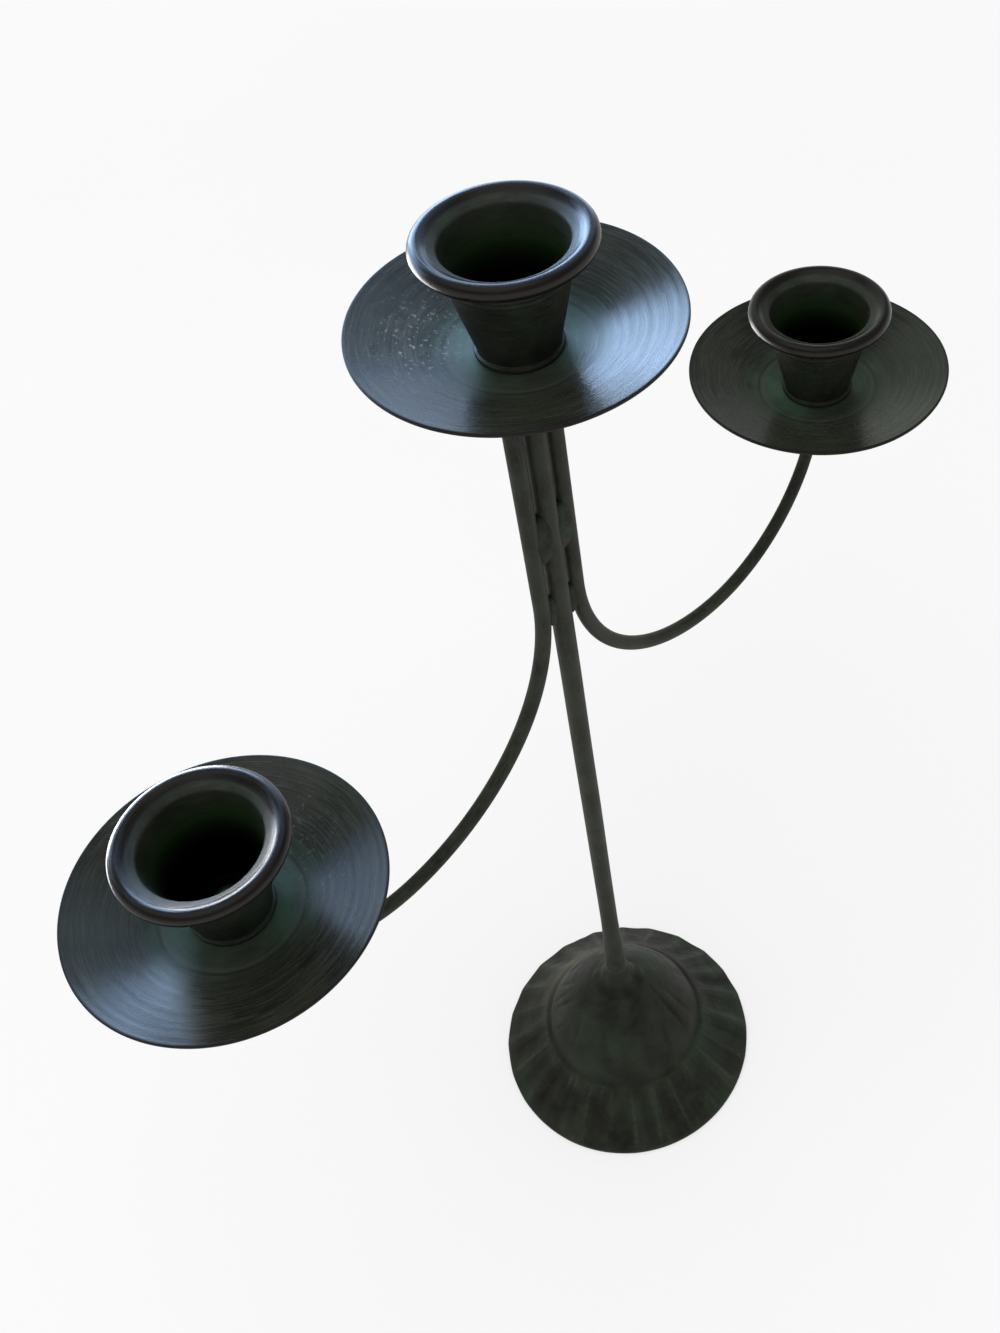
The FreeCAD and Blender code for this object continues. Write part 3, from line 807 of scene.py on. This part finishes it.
def add_rod(name, node, path, along, radius, end, rows, seed, wave):
    """Rod of a given radius at each point of its path, slightly uneven, and then its threaded end.

    Along is the distance of the points, end the heights of those in the thread, and wave the length of
    the unevenness.
    """
    rods = bpy.context.scene.candelabra.rods
    angles = circle(rows)
    radius = radius + rods.hand_wave * ripple(angles[:, None], along[:len(radius)] / wave, seed, quick=3)
    thread = rods.thread_radius + thread_relief(angles, end, rods)
    surface = tube(path, np.concatenate([radius, thread], 1), angles)
    marks = rod_marks(along, angles)
    add_piece(name, surface, finish_of(drawn_rod_patina), node, loop=False, marks=marks)


# Share of the root's taper that lies below the top of its weld
ROOT_LEAD = 0.3
# Root weld: how far it reaches below the crown and into the root, and its lumps' height and length
ROOT_SINK, ROOT_INSIDE = 1.6 * MM, 0.8 * MM
ROOT_LUMP, ROOT_LUMP_LENGTH = 3.0, 3 * MM


class CANDELABRA_OT_stem(bpy.types.Operator):
    """Stem rod with its thick root and threaded end, and the weld that joins it to the foot"""

    bl_idname = "candelabra.stem"
    bl_label = "Stem"

    def execute(self, context):
        rods, foot = context.scene.candelabra.rods, context.scene.candelabra.foot
        root_top = foot.crown_height + rods.root_rise
        body = np.linspace(STEM_LOW.z, PAN_LOW.z, ROD_POINTS)
        end = np.linspace(PAN_LOW.z, STEM_HIGH.z, THREAD_POINTS)
        height = np.concatenate([body, end])
        taper = smooth_step(body, root_top - rods.root_taper * ROOT_LEAD, root_top + rods.root_taper)
        radius = rods.root_radius + (rods.stem_radius - rods.root_radius) * taper
        path = np.stack([np.zeros_like(height), height], 1)
        add_rod("stem_rod", "stem", path, height, radius, end, STEM_ROWS, seed=21, wave=9 * MM)
        self.weld(rods, foot, root_top)
        return {"FINISHED"}

    def weld(self, rods, foot, root_top):
        """Lumpy knob round the root, with ripples round it.

        The knob is a half turn of cosine from its shoulder in to the stem, and a skirt, a smooth step of
        the height, runs from it into the dome. Its top is sunk into the stem by a cube of the height.
        """
        low = foot.crown_height - ROOT_SINK
        share = np.linspace(0, 1, 40)
        knob = (rods.root_knob_radius - rods.root_radius) * (0.5 + 0.5 * np.cos(math.pi * share ** 1.5))
        skirt = (rods.root_weld_radius - rods.root_knob_radius) * (1 - smooth_step(share, 0, 0.45))
        sunk = (0.1 - 0.55 * share ** 3) * MM
        face = np.stack([rods.root_radius + sunk + knob + skirt, low + (root_top - low) * share], 1)
        inside = rods.root_radius - ROOT_INSIDE
        corners = [(inside, low), face, (inside, root_top)]
        points, spots = outline(corners, (ROOT_WELD_POINTS,), FOOT_SOFT)
        angles = circle(ROOT_WELD_ROWS)
        lumps = ripple(angles[:, None], spots / ROOT_LUMP_LENGTH, seed=31, waves=14, quick=9)
        outside = smooth_step(points[:, 0], rods.root_radius, rods.root_radius + 1 * MM)
        outside = outside * smooth_step(points[:, 1] - low, 0, 5 * MM)
        surface = turned(points, angles, 0, rods.weld_lump * ROOT_LUMP * lumps * outside)
        marks = {"relief": 0.25 * lumps - 0.12}
        patina = finish_of(hammered_patina)
        add_piece("stem_root_weld", surface, patina, "stem_weld", marks=marks)


def arm_path(rods, side):
    """Path of one arm in the plane of the arms: leg, inner bend, outer bend, upright end and thread."""
    light = light_place(side)
    reach = abs(light.across)
    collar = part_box(f"{side}_pan_collar")[0].z
    bend = rods.right_bend if side == "right" else rods.left_bend
    offset = rods.stem_radius + rods.leg_gap + rods.leg_radius
    low = collar - bend
    middle = reach - bend
    inner = middle - offset
    rod = np.vstack([
        [(offset, PAN_LOW.z)],
        arc(middle, low + inner, inner, 180, 270, 160),
        arc(middle, collar, bend, 270, 360, 160),
        [(reach, light.pan)],
    ])
    distance = np.concatenate([[0], np.cumsum(np.hypot(*np.diff(rod, axis=0).T))])
    even = np.linspace(0, distance[-1], ROD_POINTS)
    path = np.stack([np.interp(even, distance, rod[:, axis]) for axis in (0, 1)], 1)
    end = np.linspace(light.pan, light.pan + STEM_HIGH.z - PAN_LOW.z, THREAD_POINTS)
    path = np.vstack([path, np.stack([np.full_like(end, reach), end], 1)])
    return path * (math.copysign(1, light.across), 1), even, end


class CANDELABRA_OT_arms(bpy.types.Operator):
    """Two tapered arm rods, each a leg beside the stem and a U out to its light, with a threaded end"""

    bl_idname = "candelabra.arms"
    bl_label = "Arms"

    def execute(self, context):
        rods = context.scene.candelabra.rods
        for number, side in enumerate(ARM_SIDES):
            path, even, end = arm_path(rods, side)
            share = even / even[-1]
            radius = rods.leg_radius + (rods.rod_radius - rods.leg_radius) * share
            along = np.concatenate([even, even[-1] + end - end[0]])
            name, node = f"{side}_arm_rod", f"{side}_arm"
            add_rod(name, node, path, along, radius, end, ARM_ROWS, seed=41 + number, wave=8 * MM)
        return {"FINISHED"}


# Pits in each weld clump: height above its middle in millimetres, size and bearing
WELD_PITS = {"right": ((-3.4, 0.18, 236),), "left": ((0.8, 0.26, 226),)}
# Weld clumps: how far each sits above the middle of its node, and its share of the node's height
WELD_LIFT, WELD_SHARE = 4.4 * MM, 0.74
# Small tack beads where the legs leave the stem: how far below the clumps, half their height, and their
# shares of a clump's width and depth
TACK_DROP = {"right": 24.0 * MM, "left": 23.0 * MM}
TACK_HALF, TACK_WIDE, TACK_DEEP = 4.4 * MM, 0.5, 0.66
# Lean at which a clump ends, length of its lumps and spacing of its runs
CLUMP_END, LUMP_LENGTH, RUN_SPACING = 0.12, 1.6 * MM, 4.8 * MM


def squared(wave):
    """Square root of a wave with its sign, which makes a rounded box of a circle."""
    return np.sign(wave) * np.abs(wave) ** 0.5


class CANDELABRA_OT_welds(bpy.types.Operator):
    """Lumpy weld beads in the two valleys between the stem and the arms' legs"""

    bl_idname = "candelabra.welds"
    bl_label = "Arm welds"

    def execute(self, context):
        rods = context.scene.candelabra.rods
        for number, side in enumerate(ARM_SIDES):
            node = f"{side}_arm_weld"
            low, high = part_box(node)
            middle = (low + high) / 2
            middle.z += WELD_LIFT
            half = Vector((rods.weld_width, rods.weld_depth, (high.z - low.z) / 2 * WELD_SHARE))
            self.clump(f"{side}_weld_beads", node, middle, half, WELD_PITS[side], seed=51 + number)
            middle.z -= TACK_DROP[side]
            half = Vector((rods.weld_width * TACK_WIDE, rods.weld_depth * TACK_DEEP, TACK_HALF))
            self.clump(f"{side}_tack_bead", None, middle, half, (), seed=55 + number)
        return {"FINISHED"}

    def clump(self, name, node, middle, half, pits, seed):
        """Closed clump with lumps and pits: height is half height times -cos of a lean.

        Its section is a rounded box, the half widths times square roots of |cos| and |sin| with their
        signs, that shrinks to the ends with a power of sin lean and thins from the stem to the leg.
        """
        around = circle(CLUMP_ROWS)[:, None]
        lean = np.linspace(CLUMP_END, math.pi - CLUMP_END, CLUMP_POINTS)
        height = -half.z * np.cos(lean)
        girth = np.sin(lean) ** 0.55
        lumps = ripple(around, height / LUMP_LENGTH, seed, waves=18, quick=7)
        relief = 0.45 * lumps + 0.06 * np.cos(FULL_TURN * height / RUN_SPACING)
        for up, size, bearing in pits:
            pit = bell(turn_from(around, bearing) / size, (height - up * MM) / (size * 3.5 * MM))
            relief = relief - 2.6 * pit
        swell = bpy.context.scene.candelabra.rods.weld_lump * relief * girth
        side = squared(np.cos(around))
        thin = 1 - 0.08 * side * math.copysign(1, middle.x)
        across = (half.x + swell) * girth * side
        deep = (half.y * thin + swell) * girth * squared(np.sin(around))
        height = np.broadcast_to(height, across.shape)
        surface = np.stack([middle.x + across, middle.y + deep, middle.z + height], -1)
        weld = finish_of(crusted_weld)
        add_piece(name, surface, weld, node, loop=False, marks={"relief": relief / 2})


# Where pale wear shows on each pan: bearing of its middle, spread and strength
PAN_WEAR = {"centre": (130, 34, 1.0), "right": (230, 60, 0.15), "left": (20, 60, 0.3)}
# Ring of the pans on which it shows: radius and breadth
WEAR_RING, WEAR_BREADTH = 19.5 * MM, 7 * MM
# Painted shadow and reflection of each cup on its pan: a wedge where the green bloom is left out, so the pan
# is darker there: bearing, spread and share
SHADOW_WEDGE_BEARING, SHADOW_WEDGE_SPREAD, SHADOW_WEDGE_SHARE = 242, math.radians(42), 0.85
# Pitches of the two sets of rings spun into the pans
FINE_PITCH, BROAD_PITCH = 1.9 * MM, 3.1 * MM


class CANDELABRA_OT_pans(bpy.types.Operator):
    """Three drip pans of thin sheet, dished and brushed in rings"""

    bl_idname = "candelabra.pans"
    bl_label = "Drip pans"

    def execute(self, context):
        sizes = context.scene.candelabra.lights
        depth = sizes.pan_height - sizes.pan_sheet
        turn = self.seat_turn(sizes, depth)
        points, _ = outline([
            (sizes.bore, 0), turn, (sizes.pan_radius, depth), (sizes.pan_radius, sizes.pan_height),
            turn[::-1] + (0, sizes.pan_sheet), (sizes.bore, sizes.pan_sheet),
        ], (PAN_POINTS,), PAN_SOFT)
        angles = circle(PAN_ROWS)
        around, radius = angles[:, None], points[:, 0]
        top = smooth_step(outline_normals(points)[:, 1], 0.3, 0.7)
        rings = np.cos(FULL_TURN * radius / FINE_PITCH) + 0.8 * np.cos(FULL_TURN * radius / BROAD_PITCH + 1)
        # Painted shadow and reflection: the bloom is taken out of a wedge beside each cup, darkening the pan
        # where the cup's shadow and mirror image fall
        bloom = 1 - SHADOW_WEDGE_SHARE * bell(turn_from(around, SHADOW_WEDGE_BEARING) / SHADOW_WEDGE_SPREAD)
        bloom = np.broadcast_to(bloom, (PAN_ROWS, PAN_POINTS))
        for number, side in enumerate(SIDES):
            light = light_place(side)
            surface = turned(points + (0, light.pan), angles, light.across, sizes.ring_depth * rings * top)
            wave = ripple(around, around * 0, seed=61 + number, quick=4) * (radius / sizes.pan_radius) ** 3
            surface[..., 2] += sizes.pan_wave * wave
            bearing, breadth, strength = PAN_WEAR[side]
            turn = turn_from(around, bearing) / math.radians(breadth)
            worn = strength * top * bell(turn, (radius - WEAR_RING) / WEAR_BREADTH)
            marks = {"spin": spin_mark(radius, angles), "worn": worn, "bloom": bloom}
            pan = finish_of(brushed_pan)
            add_piece(f"{side}_pan_dish", surface, pan, f"{side}_drip_pan", marks=marks)
        return {"FINISHED"}

    def seat_turn(self, sizes, depth):
        """Turn from the flat seat to the sloping dish: a parabola whose two ends run along them."""
        share = np.linspace(0, 1, 30)[:, None]
        slope = depth / (sizes.pan_radius - sizes.seat_radius)
        start = np.array((sizes.seat_radius - sizes.seat_turn, 0))
        corner = np.array((sizes.seat_radius, 0))
        end = corner + np.array((1, slope)) * sizes.seat_turn
        return start * (1 - share) ** 2 + corner * 2 * share * (1 - share) + end * share ** 2


# Heights on a cup between which its wall's relief begins and ends, the rings under its lip begin, and
# its inside turns from near black at the bottom to green
WALL_BEGINS, WALL_ENDS = (3 * MM, 5 * MM), (21 * MM, 22 * MM)
NECK_BEGINS, BOTTOM_DARK_ENDS = (16 * MM, 18 * MM), (4 * MM, 25 * MM)
# Rings of a cup: height and pitch of those under the lip, and pitch of those on the wall
NECK_RING, NECK_PITCH, WALL_PITCH = 0.12 * MM, 1.45 * MM, 2.3 * MM
# Dings in a cup's wall: height and length
DING_HEIGHT, DING_LENGTH = 0.05 * MM, 8 * MM


class CANDELABRA_OT_cups(bpy.types.Operator):
    """Three spun candle cups with a foot ring, a tapered wall, a funnel and a rolled lip"""

    bl_idname = "candelabra.cups"
    bl_label = "Candle cups"

    def execute(self, context):
        sizes = context.scene.candelabra.lights
        points, spots = self.cup_outline(sizes)
        angles = circle(CUP_ROWS)
        radius, height = points[:, 0], points[:, 1]
        outward, upward = outline_normals(points).T
        wall = smooth_step(height, *WALL_BEGINS) * (1 - smooth_step(height, *WALL_ENDS))
        neck = smooth_step(height, *NECK_BEGINS) * wall * (outward > 0)
        rings = NECK_RING * np.cos(FULL_TURN * height / NECK_PITCH) * neck
        rings = rings + sizes.ring_depth * np.cos(FULL_TURN * height / WALL_PITCH) * wall
        from_bead = np.hypot(radius - sizes.lip_radius, height - sizes.lip_height)
        lip = 1 - smooth_step(from_bead, sizes.lip_bead * 1.05, sizes.lip_bead * 1.4)
        floor = (upward > 0.5) & (radius < sizes.cup_base_radius)
        inside = ((outward < -0.2) | floor) * (1 - smooth_step(height, *BOTTOM_DARK_ENDS))
        lip, inside = (np.broadcast_to(zone, (CUP_ROWS, CUP_POINTS)) for zone in (lip, inside))
        marks = {"spin": spin_mark(spots, angles), "lip": lip, "inside": inside}
        for number, side in enumerate(SIDES):
            light = light_place(side)
            dings = DING_HEIGHT * ripple(angles[:, None], spots / DING_LENGTH, seed=71 + number, quick=4)
            surface = turned(points + (0, light.cup), angles, light.across, rings + dings * wall)
            cup = finish_of(spun_cup)
            add_piece(f"{side}_cup_shell", surface, cup, f"{side}_candle_cup", marks=marks)
        return {"FINISHED"}

    def cup_outline(self, sizes):
        """Outline of a cup: foot ring, wall, round the rolled lip, and down the funnel and the inside."""
        return outline([
            (sizes.bore, 0), (sizes.cup_foot_radius, 0), (sizes.cup_foot_radius, sizes.cup_foot_height),
            (sizes.cup_base_radius, sizes.cup_foot_height),
            (sizes.throat_radius + sizes.cup_wall, sizes.throat_height - sizes.neck_drop),
            arc(sizes.lip_radius, sizes.lip_height, sizes.lip_bead, 225, 480),
            (sizes.throat_radius, sizes.throat_height),
            (sizes.cup_base_radius - sizes.cup_wall, sizes.cup_floor), (sizes.bore, sizes.cup_floor),
        ], (CUP_POINTS,), CUP_SOFT)


class CANDELABRA_OT_fixings(bpy.types.Operator):
    """Collars under the side pans, and a washer and a chamfered nut in each cup"""

    bl_idname = "candelabra.fixings"
    bl_label = "Collars, washers and nuts"

    def execute(self, context):
        sizes = context.scene.candelabra.lights
        rods = context.scene.candelabra.rods
        patina, steel = finish_of(drawn_rod_patina), finish_of(dull_steel)
        for side in ARM_SIDES:
            self.ring(f"{side}_pan_collar", rods.rod_radius, sizes.collar_radius, patina, "rod_patina")
        for side in SIDES:
            self.ring(f"{side}_cup_washer", sizes.bore, sizes.washer_radius, steel, "fixings")
            self.nut(f"{side}_cup_nut", sizes, steel)
        return {"FINISHED"}

    def ring(self, node, bore, radius, finish, slot):
        """Flat ring with softened edges."""
        low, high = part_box(node)
        corners = [(bore, low.z), (radius, low.z), (radius, high.z), (bore, high.z)]
        points, spots = outline(corners, (RING_POINTS,), RING_SOFT)
        angles = circle(RING_ROWS)
        surface = turned(points, angles, (low.x + high.x) / 2)
        add_piece(f"{node}_ring", surface, finish, node, marks=rod_marks(spots, angles))

    def nut(self, node, sizes, finish):
        """Nut: the lesser of a hexagon and a chamfer cone.

        The hexagon is half the width across flats over the cosine of the angle from the nearest flat.
        """
        low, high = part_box(node)
        half = sizes.nut_flats / 2
        half_side = math.radians(30)
        widest = half / math.cos(half_side)
        corners = [(sizes.bore, low.z), (widest, low.z), (widest, high.z), (sizes.bore, high.z)]
        points, spots = outline(corners, (NUT_POINTS,), NUT_SOFT)
        angles = circle(NUT_ROWS)
        around = angles[:, None]
        from_flat = (around + half_side) % (2 * half_side) - half_side
        near_end = np.minimum(points[:, 1] - low.z, high.z - points[:, 1])
        limit = np.minimum(half / np.cos(from_flat), half * 0.96 + near_end * math.sqrt(3))
        middle = (low.x + high.x) / 2
        surface = turned(points, angles, middle)
        across = np.minimum(points[:, 0], limit)
        surface[..., 0] = middle + across * np.cos(around)
        surface[..., 1] = across * np.sin(around)
        add_piece(f"{node}_hexagon", surface, finish, node, marks=rod_marks(spots, angles))


# Stage

# Half the width of the floor, and the distances from the stem between which it turns plain white
FLOOR_REACH = 6.0
FLOOR_FADE = (0.35, 1.6)
# Rise of a direction between which the backdrop turns into the ceiling
CEILING_RISE = (0.05, 0.4)


def floor_finish(stage):
    """Pale matt floor with a faint cloudiness, paler still to the camera and in shiny metal."""
    finish = Finish("pale_floor")
    tone = finish.spread(finish.grain(3, 2), 0.3, 0.7, 0.0, 0.3)
    paler = finish.blend(tone, stage.floor_colour, stage.backdrop)
    finish.wear(base_color=paler, roughness=0.95, specular_ior_level=0.0)
    seen, _ = finish.rays()
    apart = finish.node("ShaderNodeVectorMath", {0: finish.place}, operation="LENGTH").outputs["Value"]
    share = finish.times(seen, finish.spread(apart, *FLOOR_FADE, stage.floor_glow, 1.0))
    glow = finish.node("ShaderNodeEmission", {"Color": WHITE, "Strength": 1.0})
    mixed = finish.node("ShaderNodeMixShader", {0: share, 1: finish.shader.outputs[0], 2: glow.outputs[0]})
    finish.feed(finish.tree.nodes["Material Output"].inputs["Surface"], mixed.outputs[0])
    return finish.material


def make_world(stage):
    """Even light all round; what the camera and metal or glass see is a pale backdrop.

    In shiny metal, the backdrop turns into a dim ceiling higher up.
    """
    world = bpy.data.worlds.new("studio_sky")
    bpy.context.scene.world = world
    world.use_nodes = True
    sky = NodeKit(world.node_tree)
    sky.tree.nodes.clear()
    direction = sky.node("ShaderNodeTexCoord").outputs["Generated"]
    rise = sky.node("ShaderNodeSeparateXYZ", {0: direction}).outputs["Z"]
    seen, shiny = sky.rays()
    room = sky.blend(sky.times(sky.spread(rise, *CEILING_RISE), shiny), stage.backdrop, stage.ceiling)
    light = sky.node("ShaderNodeBackground", {"Color": WHITE, "Strength": stage.sky_strength})
    shown = sky.node("ShaderNodeBackground", {"Color": room, "Strength": 1.0})
    mixed = sky.node("ShaderNodeMixShader", {0: seen, 1: light.outputs[0], 2: shown.outputs[0]})
    sky.node("ShaderNodeOutputWorld", {"Surface": mixed.outputs[0]})


def add_lamp(name, place, target, power, tint, wide, tall):
    """Area lamp that faces its target."""
    lamp = bpy.data.lights.new(name, "AREA")
    lamp.energy, lamp.color = power, tint
    lamp.shape, lamp.size, lamp.size_y = "RECTANGLE", wide, tall
    holder = bpy.data.objects.new(name, lamp)
    bpy.context.scene.collection.objects.link(holder)
    aim = Vector(place) - Vector(target)
    holder.matrix_world = Matrix.Translation(place) @ aim.to_track_quat("Z", "Y").to_matrix().to_4x4()
    return holder


# Panes of the window: name, place of the middle, share of the full brightness, scale
WINDOW_PANES = (
    ("window", (0.158, 0.386, 0.435), 1.0, 1.0),
    ("left_pane", (-0.115, 0.405, 0.40), 0.34, 1.0),
    ("mid_pane", (0.02, 0.42, 0.39), 0.34, 1.0),
    ("right_pane", (0.35, 0.265, 0.35), 0.20, 1.0),
    ("high_pane", (0.35, 0.21, 0.71), 0.10, 1.8),
)
# Pale places that cups show: name, place, target, width, height, power and the sides whose cups show it
GLINTS = (
    ("low_window", (-0.13, 0.62, 0.15), (0, 0, 0.24), 0.30, 0.25, 2.8, SIDES),
    ("sunlit_floor", (-0.13, 0.46, 0.01), (-0.13, 0.46, 1), 0.50, 0.30, 4.6, SIDES),
    ("pale_sill", (-0.03, 0.45, 0.26), (-0.096, 0, 0.24), 0.42, 0.14, 4.6, ("left",)),
)
# Dim wall that the right light shows: place, target, width, height, power and colour
ROOM_WALL = (0.35, 0.55, 0.55), (0.1, 0, 0.22), 0.9, 0.7, 1.1, (0.86, 1.0, 0.86)
# Light overhead: its place across and deep, the share that shiny metal shows, and how far that part is
# lifted, because lamps in the same place lose light
TOP_PLACE, TOP_SHEEN, SHEEN_LIFT = (-0.35, 0.05), 0.3, 0.05
# Share of the object's height at which the lamps aim
AIM_SHARE = 0.75


class CANDELABRA_OT_stage(bpy.types.Operator):
    """Pale floor, soft lamps and a camera at the photograph's viewing angle"""

    bl_idname = "candelabra.stage"
    bl_label = "Stage"

    def execute(self, context):
        stage = context.scene.candelabra.stage
        mesh = bpy.data.meshes.new("floor")
        corners = np.array([(-1, -1, 0), (1, -1, 0), (1, 1, 0), (-1, 1, 0)]) * FLOOR_REACH
        mesh.from_pydata(corners, [], [(0, 1, 2, 3)])
        mesh.materials.append(floor_finish(stage))
        floor = bpy.data.objects.new("floor", mesh)
        context.scene.collection.objects.link(floor)
        make_world(stage)
        self.lamps(context.scene, stage)
        self.camera(context.scene, stage)
        context.scene.view_settings.view_transform = "Standard"
        return {"FINISHED"}

    def lamps(self, scene, stage):
        """A cool window beyond the object, which only shiny metal shows, and a wide soft light overhead.

        Only two of the lights stand in the window's sight. The third, the right one, shows a dim wall.
        """
        cups = [piece for piece in scene.objects if piece.name.endswith("cup_shell")]
        shiny = cups + [piece for piece in scene.objects if piece.name.endswith("pan_dish")]
        in_sight = self.gather("in_sight_of_window", shiny, ("centre", "left"))
        middle = (0, 0, CAD_BOX[1].z * AIM_SHARE)
        for name, place, share, scale in WINDOW_PANES:
            power = stage.window_power * share * scale ** 2
            pane = (stage.window_width * scale, stage.window_tall * scale)
            self.reflect(add_lamp(name, place, middle, power, stage.window_colour, *pane), in_sight)
        for name, place, target, wide, tall, power, sides in GLINTS:
            glint = add_lamp(name, place, target, power, WHITE[:3], wide, tall)
            self.reflect(glint, self.gather(f"cups_by_{name}", cups, sides))
        place, target, wide, tall, power, tint = ROOM_WALL
        wall = add_lamp("room_wall", place, target, power, tint, wide, tall)
        self.reflect(wall, self.gather("out_of_sight_of_window", shiny, ("right",)))
        size = (stage.top_size, stage.top_size)
        for name, share, lift in (("top_light", 1 - TOP_SHEEN, 0), ("top_sheen", TOP_SHEEN, SHEEN_LIFT)):
            overhead = (*TOP_PLACE, stage.top_height + lift)
            top = add_lamp(name, overhead, middle, stage.top_power * share, WHITE[:3], *size)
            top.visible_glossy = name == "top_sheen"

    def gather(self, name, pieces, sides):
        """Collection of the pieces whose names start with one of the sides."""
        collection = bpy.data.collections.new(name)
        for piece in pieces:
            if piece.name.startswith(sides):
                collection.objects.link(piece)
        return collection

    def reflect(self, lamp, receivers):
        """Lets a lamp show only as a reflection in its receivers."""
        lamp.visible_diffuse = lamp.visible_camera = False
        lamp.light_linking.receiver_collection = receivers

    def camera(self, scene, stage):
        """Camera turned to its heading, tipped down by its pitch and leaned by its roll."""
        lens = bpy.data.cameras.new("camera")
        lens.sensor_width = SENSOR_WIDTH_MM
        lens.lens = PHOTO_FOCAL / PHOTO_HEIGHT * SENSOR_WIDTH_MM
        lens.shift_x = (PHOTO_WIDTH / 2 - PHOTO_AXIS[0]) / PHOTO_HEIGHT
        lens.shift_y = (PHOTO_AXIS[1] - PHOTO_HEIGHT / 2) / PHOTO_HEIGHT
        lens.clip_start = 0.01
        camera = bpy.data.objects.new("camera", lens)
        scene.collection.objects.link(camera)
        turn = Matrix.Rotation(stage.camera_heading - math.pi / 2, 4, "Z")
        tip = Matrix.Rotation(math.pi / 2 - stage.camera_pitch, 4, "X")
        roll = Matrix.Rotation(stage.camera_roll, 4, "Z")
        camera.matrix_world = Matrix.Translation(stage.camera_place) @ turn @ tip @ roll
        scene.camera = camera


GROUPS = ("foot", "rods", "lights", "colours", "stage")
OPERATORS = (
    CANDELABRA_OT_foot,
    CANDELABRA_OT_stem,
    CANDELABRA_OT_arms,
    CANDELABRA_OT_welds,
    CANDELABRA_OT_pans,
    CANDELABRA_OT_cups,
    CANDELABRA_OT_fixings,
    CANDELABRA_OT_stage,
)


class CANDELABRA_PT_panel(bpy.types.Panel):
    """Sizes, colours and the operators that make the candelabra"""

    bl_label = "Candelabra"
    bl_idname = "CANDELABRA_PT_panel"
    bl_space_type = "VIEW_3D"
    bl_region_type = "UI"
    bl_category = "Candelabra"

    def draw(self, context):
        settings = context.scene.candelabra
        for operator in OPERATORS:
            self.layout.operator(operator.bl_idname)
        for group in GROUPS:
            box = self.layout.box()
            box.label(text=group.capitalize())
            values = getattr(settings, group)
            for name in values.__annotations__:
                box.prop(values, name)


CLASSES = (
    FootSizes, RodSizes, LightSizes, PatinaColours, StageSettings, CandelabraSettings,
    *OPERATORS, CANDELABRA_PT_panel,
)


def register():
    for item in CLASSES:
        bpy.utils.register_class(item)
    bpy.types.Scene.candelabra = PointerProperty(type=CandelabraSettings)


def unregister():
    del bpy.types.Scene.candelabra
    for item in reversed(CLASSES):
        bpy.utils.unregister_class(item)


def main():
    register()
    bpy.ops.candelabra.foot()
    bpy.ops.candelabra.stem()
    bpy.ops.candelabra.arms()
    bpy.ops.candelabra.welds()
    bpy.ops.candelabra.pans()
    bpy.ops.candelabra.cups()
    bpy.ops.candelabra.fixings()
    bpy.ops.candelabra.stage()


if __name__ == "__main__":
    main()
